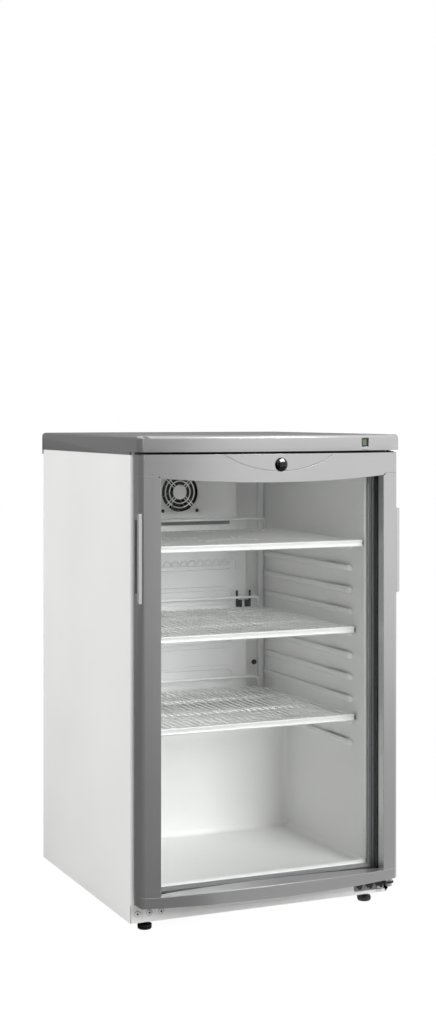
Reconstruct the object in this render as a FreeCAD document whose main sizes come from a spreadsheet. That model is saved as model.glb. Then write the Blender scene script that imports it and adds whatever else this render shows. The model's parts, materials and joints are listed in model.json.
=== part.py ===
import FreeCAD, Part
import math
import os
import re

import Sketcher

# Under-counter bottle cooler with a glazed door, as an assembly of separate pieces.
# Millimetres, +Z up, origin on the floor under the middle of the cooler. The door faces -Y and its
# hinges are on the +X side.

# Driving dimensions
SIZES = {
    # Envelope
    "height": 840,
    "depth": 550,
    "lid_width": 498,
    "lid_lap": 1.5,
    "door_reach": 73,
    "fit": 0.2,
    # Sheet-metal shell
    "sheet": 1,
    "panel_flange": 21,
    "panel_back_flange": 14,
    "panel_drop": 26,
    "base_gap": 18,
    "base_sheet": 2,
    "base_front_lip": 28,
    "base_back_lip": 12,
    "kick_top": 50,
    "kick_sheet": 1.5,
    "kick_window_round": 6,
    "recess_depth": 127,
    "recess_top": 265,
    "back_gap": 21,
    # Liner
    "side_foam": 47.5,
    "liner_wall": 2,
    "liner_floor": 66,
    "roof_foam": 42,
    "rear_foam": 27,
    "liner_corner": 12,
    "lip_radius": 8,
    "lip_depth": 12,
    "step_foam": 32,
    "step_cover": 30,
    "flange_drop": 6,
    "rib_drop": 129.7,
    "rib_pitch": 39.5,
    "rib_height": 15,
    "rib_reach": 8,
    "rib_setback": 42,
    "rib_clear": 20,
    "rib_nose_length": 95,
    "rib_nose_reach": 9.5,
    # Lid
    "lid_wall": 3,
    "lid_skirt": 32.5,
    "lid_front_height": 27.5,
    "lid_bow": 31.5,
    "lid_corner": 14,
    "lid_round": 6,
    "lid_hook_drop": 41,
    "lid_hook_length": 5,
    # Display
    "display_inset": 80,
    "display_drop": 13.5,
    "display_size": 15,
    "display_depth": 9,
    "window_width": 9,
    "window_height": 11,
    "window_shift": 1.5,
    "window_depth": 3,
    # Door
    "door_inset": 2.5,
    "door_low": 53,
    "door_drop": 31.5,
    "door_corner_reach": 41,
    "door_bow": 30,
    "door_corner": 12,
    "gasket_gap": 11,
    "stile_width": 34,
    "top_rail": 36,
    "top_rail_dip": 12.7,
    "rail_step": 4,
    "low_rail": 18,
    "low_rail_rise": 4.5,
    "glass_lap": 7.5,
    "glass_sheet": 4,
    "glazing_depth": 19,
    "spacer_width": 8,
    "seat_slack": 0.5,
    "inner_frame_sheet": 3,
    "inner_frame_lap": 2,
    "inner_frame_inset": 3,
    "gasket_width": 16,
    "gasket_face": 10,
    # Handles
    "grip_reach": 16,
    "grip_drop": 233.5,
    "grip_length": 123,
    "grip_depth": 11,
    "grip_width": 13,
    "fin_setback": 2,
    "fin_over": 15,
    "fin_length": 150,
    "fin_sheet": 4,
    "fin_round": 3,
    # Hinges
    "hinge_inset": 9.5,
    "hinge_back": 12,
    "pin_radius": 4,
    "running_gap": 0.05,
    "bush_wall": 2.5,
    "bush_length": 14,
    "bush_flange": 1.5,
    "bush_flange_radius": 9,
    "arm_top": 44,
    "arm_sheet": 3,
    "arm_radius": 9,
    "arm_teeth": 3,
    "arm_tooth_pitch": 19.4,
    "arm_tooth_tip": 28,
    "arm_tooth_root": 40,
    "hinge_slot_low": 24,
    "hinge_slot_high": 50,
    "pin_shoulder": 7,
    "pin_head": 6,
    "pin_head_length": 6,
    "pin_gap": 0.3,
    "plate_sheet": 2.5,
    "plate_width": 32,
    "plate_length": 75,
    # Lock
    "lock_drop": 50,
    "lock_head": 12,
    "lock_dome": 1.7,
    "lock_barrel": 9,
    "lock_length": 29,
    "lens_half": 106,
    "lens_depth": 29.5,
    "lens_sheet": 1.5,
    "lens_seam": 0.6,
    "cam_sheet": 2.5,
    "cam_length": 30,
    "cam_width": 10,
    "cam_room": 4,
    "strike_width": 32,
    "strike_sheet": 2,
    "strike_gap": 2,
    # Fan and its cover
    "fan_drop": 48,
    "cover_half": 122,
    "cover_drop": 53,
    "cover_depth": 32.5,
    "cover_setback": 45,
    "cover_wall": 2,
    "cover_round": 4,
    "grille_disc": 15.5,
    "grille_slot": 5,
    "grille_ring": 2.7,
    "grille_slots": 3,
    "spoke_width": 2,
    "spoke_gap": 3,
    "fan_frame_half": 42,
    "fan_frame_depth": 22,
    "fan_bore": 38.5,
    "motor_radius": 16,
    "strut_width": 6,
    "strut_depth": 3,
    "rotor_radius": 36.5,
    "rotor_hub": 14,
    "rotor_hub_length": 9,
    "rotor_gap": 2,
    "blade_count": 7,
    "blade_chord": 20,
    "blade_sheet": 1.6,
    "blade_pitch": 68,
    "shaft_radius": 2,
    "shaft_length": 8,
    # Evaporator
    "evap_margin": 45,
    "evap_foot": 10,
    "evap_head": 5,
    "evap_gap": 16,
    "evap_sheet": 2,
    "channel_rise": 1.8,
    "channel_width": 8,
    "channel_margin": 45,
    "channel_foot": 51,
    "channel_head": 76,
    "channel_loop": 22,
    "channel_count": 4,
    "clip_inset": 23,
    "clip_drop": 174,
    "clip_pitch": 19,
    "clip_width": 12,
    "clip_height": 14,
    "clip_prong": 3,
    "clip_prong_height": 33,
    "clip_depth": 5,
    "probe_inset": 22,
    "probe_rise": 83,
    "probe_radius": 5,
    "probe_tip": 2,
    "probe_length": 13,
    # Shelves
    "shelf_setback": 29,
    "shelf_rear_gap": 9,
    "shelf_side_gap": 4,
    "shelf_forward": 30,
    "cross_wire": 5,
    "grid_margin": 7,
    "grid_wire": 3,
    "grid_count": 31,
    "cross_count": 2,
    "cross_inset": 145,
    "cross_rear_inset": 94,
    "trim_height": 12,
    "trim_depth": 8,
    "trim_wall": 1.3,
    "stop_wires": 14,
    "stop_rise": 19,
    "stop_bend": 8,
    # Feet
    "foot_inset": 35.5,
    "foot_setback": 25.5,
    "foot_rear_inset": 35,
    "foot_radius": 13,
    "foot_height": 9,
    "stem_radius": 4,
    "stem_length": 20,
    "stem_slack": 0.3,
    "stem_room": 14,
    # Machine bay
    "comp_inset": 142.5,
    "comp_rear_inset": 64,
    "comp_radius": 52,
    "comp_seam": 55,
    "comp_low": 34,
    "comp_height": 150,
    "comp_seam_height": 70,
    "comp_foot": 3,
    "comp_foot_half": 66,
    "comp_foot_span": 46,
    "grommet_radius": 9,
    "terminal_width": 34,
    "terminal_depth": 44,
    "terminal_height": 52,
    "terminal_low": 70,
    "tray_length": 150,
    "tray_depth": 104,
    "tray_height": 24,
    "tray_wall": 2,
    "drain_radius": 6,
    "drain_share": 0.7,
    "drain_wall": 1.5,
    "coil_inset": 62.5,
    "coil_gap": 10,
    "coil_drop": 34,
    "coil_rise": 95,
    "coil_runs": 7,
    "tube_radius": 2.5,
    "coil_wire": 1.6,
    "coil_wire_count": 15,
    "coil_wire_margin": 5,
    "coil_wire_over": 12,
    "bracket_inset": 55,
    "bracket_width": 14,
    "bracket_height": 20,
    "riser_inset": 35.5,
    "line_bend": 14,
    "drier_inset": 42.5,
    "drier_rear_inset": 48,
    "drier_drop": 175,
    "drier_length": 100,
    "drier_radius": 9,
    "suction_drop": 50,
    "capillary_radius": 1.5,
    "gland_x": -60,
    "gland_z": 60,
    "gland_radius": 9,
    "gland_length": 22,
    # Controller behind the display
    "controller_width": 70,
    "controller_shift": 10,
    "controller_depth": 38,
    "controller_height": 18,
    # Screws
    "screw_radius": 5,
    "screw_dome": 1.6,
    "screw_z": 33.5,
    "screw_inset": 13,
    "screw_pitch": 21.3,
}

# Sizes that follow from the driving ones, so that the pieces keep together when one of those changes
DERIVED = {
    "cab_width": "lid_width - 2*lid_lap",
    "door_width": "cab_width - 2*door_inset",
    "front_plane": "door_reach - depth/2",
    "back_plane": "depth/2 - lid_wall + sheet",
    "top_plane": "height - panel_drop",
    "rear_plane": "back_plane - back_gap",
    # Liner
    "liner_half": "cab_width/2 - side_foam",
    "liner_ceiling": "top_plane - roof_foam",
    "liner_back": "rear_plane - rear_foam",
    "step_front": "back_plane - recess_depth - step_foam",
    "step_top": "recess_top + step_cover",
    "flange_half": "cab_width/2 - panel_flange - sheet/2",
    "flange_top": "top_plane - flange_drop",
    "rib_top": "liner_ceiling - rib_drop",
    "rib_front": "front_plane + rib_setback",
    "rib_back": "liner_back - rib_clear",
    # Display and door
    "display_x": "lid_width/2 - display_inset",
    "inner_frame_half": "door_width/2 - stile_width - inner_frame_lap",
    "grip_low": "height - door_drop - grip_drop",
    "grip_front": "gasket_gap + grip_reach - front_plane",
    "fin_low": "grip_low - fin_over",
    "fin_front": "door_corner_reach - fin_setback - front_plane",
    # Fan, evaporator and probe
    "fan_height": "liner_ceiling - fan_drop",
    "cover_low": "fan_height - cover_drop",
    "evap_half": "liner_half - evap_margin",
    "evap_low": "step_top + evap_foot",
    "evap_high": "cover_low - evap_head",
    "evap_front": "liner_back - evap_gap",
    "channel_half": "evap_half - channel_margin",
    "channel_first": "evap_low + channel_foot",
    "channel_pitch": "(evap_high - evap_low - channel_foot - channel_head)/(channel_count - 1)",
    "clip_x": "evap_half - clip_inset",
    "clip_low": "evap_high - clip_drop",
    "probe_x": "liner_half - probe_inset",
    "probe_z": "step_top + probe_rise",
    # Shelves
    "shelf_front": "front_plane + shelf_setback",
    "shelf_depth": "evap_front - shelf_rear_gap - shelf_front",
    "shelf_half": "liner_half - shelf_side_gap",
    "grid_pitch": "(2*shelf_half - 2*grid_margin)/(grid_count - 1)",
    # Feet and machine bay
    "foot_x": "cab_width/2 - foot_inset",
    "foot_front": "front_plane + foot_setback",
    "foot_back": "back_plane - foot_rear_inset",
    "comp_x": "cab_width/2 - comp_inset",
    "comp_y": "back_plane - comp_rear_inset",
    "drain_drop": "drain_share*(recess_top - comp_low - comp_height - tray_height)",
    "coil_half": "cab_width/2 - coil_inset",
    "coil_y": "rear_plane + coil_gap",
    "coil_top": "top_plane - coil_drop",
    "coil_pitch": "(coil_top - recess_top - coil_rise)/(coil_runs - 1)",
    "coil_wire_pitch": "(2*coil_half - 2*coil_wire_margin)/(coil_wire_count - 1)",
    "bracket_x": "coil_half - bracket_inset",
    "riser_x": "cab_width/2 - riser_inset",
    "drier_x": "drier_inset - cab_width/2",
    "drier_y": "back_plane - drier_rear_inset",
    "drier_low": "recess_top - drier_drop",
    "suction_z": "recess_top - suction_drop",
    "screw_first": "cab_width/2 - screw_inset",
}

doc = FreeCAD.newDocument("bottle_cooler")
dim = doc.addObject("Spreadsheet::Sheet", "dim")
for row, (alias, size) in enumerate(SIZES.items(), start=1):
    dim.set(f"A{row}", alias)
    dim.set(f"B{row}", str(size))
    dim.setAlias(f"B{row}", alias)
doc.recompute()

NODES = []
V = FreeCAD.Vector


# Binding helpers
def linked(text):
    """Expression text with every size name pointing at its cell, and derived sizes written out."""
    def spell(match):
        word = match.group()
        if word in DERIVED:
            return "(" + linked(DERIVED[word]) + ")"
        return "dim." + word if word in SIZES else word

    return re.sub(r"[a-z]\w*", spell, str(text))


def val(text):
    """Present value of an expression of sizes."""
    return float(dim.evalExpression(linked(text)))


def bind(obj, prop, text):
    obj.setExpression(prop, linked(text))


def node(obj, label):
    """Mark an object as one of the cooler's pieces, under the name a person would use."""
    obj.Label = label
    NODES.append(obj)
    return obj


def place(obj, x="0", y="0", z="0", turn=None):
    """Bind an object's position, with an optional fixed turn."""
    if turn is not None:
        obj.Placement = FreeCAD.Placement(V(), turn)
    for axis, text in zip("xyz", (x, y, z)):
        bind(obj, f"Placement.Base.{axis}", text)
    return obj


TURNS = {
    "x": FreeCAD.Rotation(V(0, 1, 0), 90),
    "y": FreeCAD.Rotation(V(1, 0, 0), -90),
    "-y": FreeCAD.Rotation(V(1, 0, 0), 90),
    "z": FreeCAD.Rotation(),
}


# Solid helpers
def block(name, x, y, z):
    """Box between two corners, given as a low and high expression for each axis."""
    box = doc.addObject("Part::Box", name)
    for side, (low, high) in zip(("Length", "Width", "Height"), (x, y, z)):
        bind(box, side, f"({high}) - ({low})")
    return place(box, x[0], y[0], z[0])


def rod(name, radius, axis, start, length):
    """Cylinder from a start point along an axis."""
    cylinder = doc.addObject("Part::Cylinder", name)
    bind(cylinder, "Radius", radius)
    bind(cylinder, "Height", length)
    return place(cylinder, *start, turn=TURNS[axis])


def join(name, *shapes):
    fused = doc.addObject("Part::MultiFuse", name)
    fused.Shapes = list(shapes)
    fused.Refine = True
    return fused


def group(name, *shapes):
    """Several separate solids in one piece name."""
    compound = doc.addObject("Part::Compound", name)
    compound.Links = list(shapes)
    return compound


def cut(name, base, *tools):
    result = doc.addObject("Part::Cut", name)
    result.Base = base
    result.Tool = tools[0] if len(tools) == 1 else join(name + "_tools", *tools)
    return result


def overlap(name, first, second):
    common = doc.addObject("Part::Common", name)
    common.Base = first
    common.Tool = second
    return common


def mirrored(name, source):
    """Copy on the other side of the cooler's middle plane."""
    mirror = doc.addObject("Part::Mirroring", name)
    mirror.Source = source
    mirror.Base = V(0, 0, 0)
    mirror.Normal = V(1, 0, 0)
    return mirror


def origin_part(body, role):
    return [item for item in body.Origin.OriginFeatures if item.Role == role][0]


def draw(body, plane, loops, level="0"):
    """Fully constrained sketch of closed loops on an origin plane of its body.

    A loop is a list of (x, y) corners, or (x, y, sag) where the stretch that follows is an arc that
    bulges by sag to the right of the way the loop runs.
    """
    sketch = body.newObject("Sketcher::SketchObject", body.Name + "_sketch")
    sketch.AttachmentSupport = [(origin_part(body, plane), "")]
    sketch.MapMode = "FlatFace"
    bind(sketch, "AttachmentOffset.Base.z", level)
    for loop in loops:
        draw_loop(sketch, loop)
    return sketch


def draw_loop(sketch, loop):
    corners = [V(val(corner[0]), val(corner[1]), 0) for corner in loop]
    ends = []
    for index, corner in enumerate(loop):
        here = corners[index]
        there = corners[(index + 1) % len(loop)]
        if len(corner) == 2:
            ends.append((sketch.addGeometry(Part.LineSegment(here, there), False), 1, 2))
            continue
        sag = val(corner[2])
        along = (there - here).normalize()
        middle = (here + there) * 0.5 + V(along.y, -along.x, 0) * sag
        if sag > 0:
            ends.append((sketch.addGeometry(Part.Arc(here, middle, there), False), 1, 2))
        else:
            ends.append((sketch.addGeometry(Part.Arc(there, middle, here), False), 2, 1))
    for index, (edge, start, end) in enumerate(ends):
        following = ends[(index + 1) % len(ends)]
        sketch.addConstraint(Sketcher.Constraint("Coincident", edge, end, following[0], following[1]))
        x, y = loop[index][:2]
        for kind, text, size in (("DistanceX", x, corners[index].x), ("DistanceY", y, corners[index].y)):
            pinned = sketch.addConstraint(Sketcher.Constraint(kind, -1, 1, edge, start, size))
            bind(sketch, f"Constraints[{pinned}]", text)
        if len(loop[index]) == 3:
            far_x, far_y = loop[(index + 1) % len(loop)][:2]
            chord = f"(({far_x}) - ({x}))^2 + (({far_y}) - ({y}))^2"
            radius = f"({chord}) / (8 * abs({loop[index][2]})) + abs({loop[index][2]}) / 2"
            sized = sketch.addConstraint(Sketcher.Constraint("Radius", edge, val(radius)))
            bind(sketch, f"Constraints[{sized}]", radius)


def extrude(body, plane, loops, low, high):
    """Pad closed loops between two levels along the plane's axis."""
    level = f"-({high})" if plane == "XZ_Plane" else low
    sketch = draw(body, plane, loops, level)
    pad = body.newObject("PartDesign::Pad", body.Name + "_pad")
    pad.Profile = sketch
    bind(pad, "Length", f"({high}) - ({low})")
    sketch.Visibility = False
    return pad


def prism(name, plane, loops, low, high):
    """Body with one pad."""
    body = doc.addObject("PartDesign::Body", name)
    extrude(body, plane, loops, low, high)
    return body


def carve(body, plane, loops, low, high):
    """Pocket closed loops between two levels along the plane's axis, and see that it removes material."""
    doc.recompute()
    before = body.Shape.Volume
    level = f"-({low})" if plane == "XZ_Plane" else high
    sketch = draw(body, plane, loops, level)
    pocket = body.newObject("PartDesign::Pocket", body.Name + "_pocket")
    pocket.Profile = sketch
    bind(pocket, "Length", f"({high}) - ({low})")
    doc.recompute()
    if body.Shape.Volume >= before:
        raise RuntimeError(f"{pocket.Name} cuts nothing")
    return pocket


def round_edges(body, radius, wanted):
    """Fillet the edges of a body that a test picks."""
    doc.recompute()
    tip = body.Tip
    names = [f"Edge{i}" for i, edge in enumerate(tip.Shape.Edges, start=1) if wanted(edge)]
    fillet = body.newObject("PartDesign::Fillet", body.Name + "_fillet")
    fillet.Base = (tip, names)
    bind(fillet, "Radius", radius)
    body.Tip = fillet
    return fillet


def repeat(body, feature, role, pitch, count):
    """Linear pattern of a feature along one of the body's axes."""
    pattern = body.newObject("PartDesign::LinearPattern", body.Name + "_pattern")
    pattern.Originals = [feature]
    pattern.Direction = (origin_part(body, role), [""])
    bind(pattern, "Length", f"({pitch}) * (({count}) - 1)")
    bind(pattern, "Occurrences", count)
    body.Tip = pattern
    return pattern


def stub(name, sides, radius, axis, start, length):
    """Prism with regular sides that stands in for a small cylinder."""
    prism_part = doc.addObject("Part::Prism", name)
    prism_part.Polygon = sides
    bind(prism_part, "Circumradius", radius)
    bind(prism_part, "Height", length)
    return place(prism_part, *start, turn=TURNS[axis])


def facetted(name, sides, profile, axis, at):
    """Turned piece with flat sides; profile corners are (radius, distance along the axis), from end to end."""
    rings = []
    for radius, level in profile:
        rim = val(radius)
        turns = [2 * math.pi * step / sides for step in range(sides)]
        rings.append([V(rim * math.cos(turn), rim * math.sin(turn), val(level)) for turn in turns])
    faces = [Part.Face(Part.makePolygon(end + end[:1])) for end in (rings[0], rings[-1])]
    for low, high in zip(rings, rings[1:]):
        for step in range(sides):
            following = (step + 1) % sides
            corners = [low[step], low[following], high[following], high[step], low[step]]
            faces.append(Part.Face(Part.makePolygon(corners)))
    piece = doc.addObject("Part::Feature", name)
    piece.Shape = Part.makeSolid(Part.makeShell(faces))
    return place(piece, *at, turn=TURNS[axis])


def bent_route(points, reach, chords):
    """Points of a route with each corner replaced by a bend of short chords."""
    bent = [points[0]]
    for before, corner, after in zip(points, points[1:], points[2:]):
        into = (before - corner).normalize()
        out = (after - corner).normalize()
        half = into.getAngle(out) / 2
        centre = corner + (into + out).normalize() * (reach / math.sin(half))
        start = corner + into * (reach / math.tan(half)) - centre
        end = corner + out * (reach / math.tan(half)) - centre
        axis = start.cross(end)
        swing = math.degrees(start.getAngle(end))
        bent += [centre + FreeCAD.Rotation(axis, swing * step / chords).multVec(start)
                 for step in range(chords + 1)]
    return bent + [points[-1]]


def pipe(name, radius, route, bend, sides=6, chords=3):
    """Bent tube or wire along a route."""
    points = [V(*(val(text) for text in point)) for point in route]
    along = (points[1] - points[0]).normalize()
    side = along.cross(V(0, 0, 1)) if abs(along.z) < 0.9 else along.cross(V(1, 0, 0))
    side.normalize()
    rim = val(radius) / math.cos(math.pi / sides)
    turns = [FreeCAD.Rotation(along, 360 * (step + 0.5) / sides) for step in range(sides + 1)]
    section = Part.makePolygon([points[0] + turn.multVec(side) * rim for turn in turns])
    path = Part.makePolygon(bent_route(points, val(bend), chords))
    right_corners = 1
    tube = doc.addObject("Part::Feature", name)
    tube.Shape = path.makePipeShell([section], True, False, right_corners)
    return tube


def rectangle(x, y):
    return [(x[0], y[0]), (x[1], y[0]), (x[1], y[1]), (x[0], y[1])]


def ring(name, plane, outer, inner, low, high):
    """Flat frame between an outer and an inner rectangle."""
    return prism(name, plane, [rectangle(*outer), rectangle(*inner)[::-1]], low, high)


def both(half):
    """Low and high of a span centred on the middle plane."""
    return (f"-({half})", f"({half})")


def bowed(half, back, corner, nose):
    """Plan outline with a straight back and a front that bows out in the middle."""
    left, right = both(half)
    return [(left, back), (left, corner, f"({corner}) - ({nose})"), (right, corner), (right, back)]


def racetrack(x, z, half, radius):
    """Slot outline with ends of four chords each, centred on a point."""
    corners = []
    for angle in range(-90, 271, 45):
        side = "+" if angle <= 90 else "-"
        corners.append((f"({x}) {side} ({half}) + ({radius})*cos({angle})",
                        f"({z}) + ({radius})*sin({angle})"))
        if angle == 90:
            corners.append((f"({x}) - ({half})", f"({z}) + ({radius})"))
    return corners


# Places that several pieces share
CAB_X = "cab_width/2"
FRONT = "front_plane"
BACK = "back_plane"
TOP = "top_plane"
PAN = "(base_gap + base_sheet)"
INSIDE_X = "(cab_width/2 - sheet)"
REAR_PANEL = "rear_plane"
RECESS = f"({BACK} - recess_depth)"
LID_NOSE = "(-depth/2)"
LID_CORNER = "(lid_bow - depth/2)"
LID_ROOF = "(height - lid_wall)"
DOOR_X = "door_width/2"
DOOR_TOP = "(height - door_drop)"
DOOR_BACK = f"({FRONT} - gasket_gap)"
DOOR_CORNER = f"({FRONT} - door_corner_reach)"
DOOR_NOSE = f"({DOOR_CORNER} - door_bow)"
TOP_SEAM = f"({DOOR_TOP} - top_rail)"
LOW_SEAM = "(door_low + low_rail)"
STILE_X = "(door_width/2 - stile_width)"
GLASS_X = f"({STILE_X} + glass_lap)"
GLASS_LOW = f"({LOW_SEAM} - glass_lap)"
GLASS_HIGH = f"({TOP_SEAM} + glass_lap)"
GLASS_FRONT = f"({DOOR_BACK} - glazing_depth)"
HINGE_X = "(door_width/2 - hinge_inset)"
HINGE_Y = f"({DOOR_BACK} - hinge_back)"
LOCK_Z = "(height - lock_drop)"
COVER_FRONT = "(liner_back - cover_setback)"
FAN_BACK = f"({COVER_FRONT} + cover_wall + fan_frame_depth)"


def is_upright(edge):
    return abs(edge.tangentAt(edge.FirstParameter).z) > 0.99


def at_front_corner(edge, corner):
    return is_upright(edge) and abs(edge.CenterOfMass.y - val(corner)) < 0.5


# Side panels: folded sheet with a front flange and a narrower rear flange
panel_profile = [
    (f"-{CAB_X}", FRONT),
    (f"panel_flange - {CAB_X}", FRONT),
    (f"panel_flange - {CAB_X}", f"{FRONT} + sheet"),
    (f"-{INSIDE_X}", f"{FRONT} + sheet"),
    (f"-{INSIDE_X}", f"{BACK} - sheet"),
    (f"panel_back_flange - {CAB_X}", f"{BACK} - sheet"),
    (f"panel_back_flange - {CAB_X}", BACK),
    (f"-{CAB_X}", BACK),
]
left_panel = node(prism("LeftPanel", "XY_Plane", [panel_profile], "base_gap", TOP), "left_side_panel")
hinge_notch = block("HingeNotch", (f"{CAB_X} - panel_flange - fit", f"{INSIDE_X} - fit"),
                    (f"{FRONT} - fit", f"{FRONT} + sheet + fit"), ("hinge_slot_low", "hinge_slot_high"))
node(cut("RightPanel", mirrored("RightPanelBlank", left_panel), hinge_notch), "right_side_panel")

# Base plate: a pan with a tall front lip and a low rear lip, drilled for the feet
base_profile = [
    (f"{FRONT} + base_sheet", "base_gap"),
    (f"{BACK} - base_sheet", "base_gap"),
    (f"{BACK} - base_sheet", f"{PAN} + base_back_lip"),
    (f"{BACK} - 2*base_sheet", f"{PAN} + base_back_lip"),
    (f"{BACK} - 2*base_sheet", PAN),
    (f"{FRONT} + base_sheet + sheet", PAN),
    (f"{FRONT} + base_sheet + sheet", f"{PAN} + base_front_lip"),
    (f"{FRONT} + base_sheet", f"{PAN} + base_front_lip"),
]
base_blank = prism("BaseBlank", "YZ_Plane", [base_profile], *both(f"{INSIDE_X} - fit"))
FEET = {
    "front_left_foot": ("-foot_x", "foot_front"),
    "front_right_foot": ("foot_x", "foot_front"),
    "rear_left_foot": ("-foot_x", "foot_back"),
    "rear_right_foot": ("foot_x", "foot_back"),
}
stem_holes = [stub(f"StemHole{i}", 8, "stem_radius + stem_slack", "z", (x, y, "base_gap - 1"),
                   "base_sheet + 2")
              for i, (x, y) in enumerate(FEET.values())]
node(cut("BasePlate", base_blank, *stem_holes), "base_plate")

# Rear panel: one sheet folded over the machine bay, with a hole for the drain
rear_profile = [
    (f"{RECESS} - sheet", PAN),
    (RECESS, PAN),
    (RECESS, "recess_top - sheet"),
    (REAR_PANEL, "recess_top - sheet"),
    (REAR_PANEL, TOP),
    (f"{REAR_PANEL} - sheet", TOP),
    (f"{REAR_PANEL} - sheet", "recess_top"),
    (f"{RECESS} - sheet", "recess_top"),
]
rear_blank = prism("RearBlank", "YZ_Plane", [rear_profile], *both(f"{INSIDE_X} - fit"))
DRAIN = ("comp_x", f"(liner_back + {RECESS})/2")
drain_bore = stub("DrainBore", 12, "drain_radius", "z", (*DRAIN, "recess_top - drain_drop"), "step_top")
node(cut("RearPanel", rear_blank, drain_bore), "rear_panel")

# Inner liner: vacuum-formed cabin with a step, a rounded front lip and shelf ribs
liner = doc.addObject("PartDesign::Body", "Liner")
HULL = both("liner_half + liner_wall")
LIP = both("liner_half + lip_depth")
extrude(liner, "XZ_Plane", [rectangle(HULL, ("step_top - liner_wall", "liner_ceiling + liner_wall"))],
        FRONT, "liner_back + liner_wall")
extrude(liner, "XZ_Plane", [rectangle(HULL, ("liner_floor - liner_wall", "step_top + liner_wall"))],
        FRONT, "step_front + liner_wall")
extrude(liner, "XZ_Plane", [rectangle(LIP, ("liner_floor - lip_depth", "liner_ceiling + lip_depth"))],
        FRONT, f"{FRONT} + lip_depth")
extrude(liner, "XZ_Plane", [rectangle(both("flange_half"), ("kick_top", "flange_top"))],
        FRONT, f"{FRONT} + liner_wall")
CABIN = both("liner_half")
carve(liner, "XZ_Plane", [rectangle(CABIN, ("step_top", "liner_ceiling"))], f"{FRONT} - 1", "liner_back")
carve(liner, "XZ_Plane", [rectangle(CABIN, ("liner_floor", "step_top + liner_wall"))], f"{FRONT} - 1",
      "step_front")


def in_cabin_corner(edge):
    """Upright edges where a side wall of the cabin meets its rear wall or the step."""
    middle = edge.CenterOfMass
    wall = abs(abs(middle.x) - val("liner_half")) < 0.01
    rear = min(abs(middle.y - val("liner_back")), abs(middle.y - val("step_front"))) < 0.01
    return wall and rear and is_upright(edge)


def on_opening(edge):
    """Edges of the opening in the cabinet's front plane."""
    middle = edge.CenterOfMass
    inside = abs(middle.x) < val("liner_half") + 0.01
    level = val("liner_floor") - 0.01 < middle.z < val("liner_ceiling") + 0.01
    return abs(middle.y - val(FRONT)) < 0.01 and inside and level


round_edges(liner, "liner_corner", in_cabin_corner)
round_edges(liner, "lip_radius", on_opening)


def rib_pair(reach, rank):
    """Rib sections on both walls, flat on top and sloping back underneath, counted from the top rib."""
    top = f"(rib_top - rib_pitch*({rank}))"
    pair = []
    for side in ("1", "-1"):
        root = f"{side} * (liner_half + liner_wall/2)"
        tip = f"{side} * (liner_half - ({reach}))"
        pair.append([(root, top), (tip, top), (tip, f"{top} - rib_height/3"), (root, f"{top} - rib_height")])
    return pair


# Ribs above the step run to the rear wall; the one below it ends at the step
RIBS = 1 + int(val("rib_top - rib_height - step_top") // val("rib_pitch"))
for reach, rear in (("rib_reach", "rib_back"), ("rib_nose_reach", "rib_front + rib_nose_length")):
    rib = extrude(liner, "XZ_Plane", rib_pair(reach, RIBS - 1), "rib_front", rear)
    repeat(liner, rib, "Z_Axis", "rib_pitch", RIBS)
extrude(liner, "XZ_Plane", rib_pair("rib_reach", RIBS), "rib_front", "step_front + liner_wall/2")
node(cut("LinerDrilled", liner, drain_bore), "inner_liner")

# Foam between the liner and the shell
foam_profile = [
    (f"{FRONT} + base_sheet + sheet", PAN),
    (f"{RECESS} - sheet", PAN),
    (f"{RECESS} - sheet", "recess_top"),
    (f"{REAR_PANEL} - sheet", "recess_top"),
    (f"{REAR_PANEL} - sheet", TOP),
    (f"{FRONT} + base_sheet + sheet", TOP),
]
foam_blank = prism("FoamBlank", "YZ_Plane", [foam_profile], *both(f"{INSIDE_X} - fit"))
foam_cuts = [
    block("UpperCabin", HULL, (f"{FRONT} - 1", "liner_back + liner_wall"),
          ("step_top - liner_wall", "liner_ceiling + liner_wall")),
    block("LowerCabin", HULL, (f"{FRONT} - 1", "step_front + liner_wall"),
          ("liner_floor - liner_wall", "step_top")),
    block("LipRoom", LIP, (f"{FRONT} - 1", f"{FRONT} + lip_depth"),
          ("liner_floor - lip_depth", "liner_ceiling + lip_depth")),
]
foam_cuts += [stub(f"StemRoom{i}", 8, "stem_radius + 1", "z", (x, y, "base_gap"), "stem_room + base_sheet")
              for i, (x, y) in enumerate(list(FEET.values())[:2])]
node(cut("Foam", foam_blank, drain_bore, *foam_cuts), "foam_insulation")

# Kick plate under the door, with a cut-out for the lower hinge
KICK_X = f"({CAB_X} - panel_flange - fit)"
kick = prism("KickBlank", "XZ_Plane", [rectangle(both(KICK_X), ("base_gap", "kick_top - fit"))],
             FRONT, f"{FRONT} + kick_sheet")
ARM_LEFT = f"({HINGE_X} - arm_tooth_pitch*arm_teeth)"
kick_slot = prism("KickSlot", "XZ_Plane",
                  [rectangle((f"{ARM_LEFT} - fit", CAB_X), ("hinge_slot_low", "hinge_slot_high"))],
                  f"{FRONT} - 1", f"{FRONT} + base_sheet")


def at_lower_left(edge):
    """Window edge that runs front to back at the lower left."""
    middle = edge.CenterOfMass
    return (middle.x < val(ARM_LEFT) and middle.z < val("hinge_slot_low") + 0.01
            and abs(edge.BoundBox.XLength) < 0.01)


round_edges(kick_slot, "kick_window_round", at_lower_left)
node(cut("KickPlate", kick, kick_slot), "kick_plate")

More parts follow.
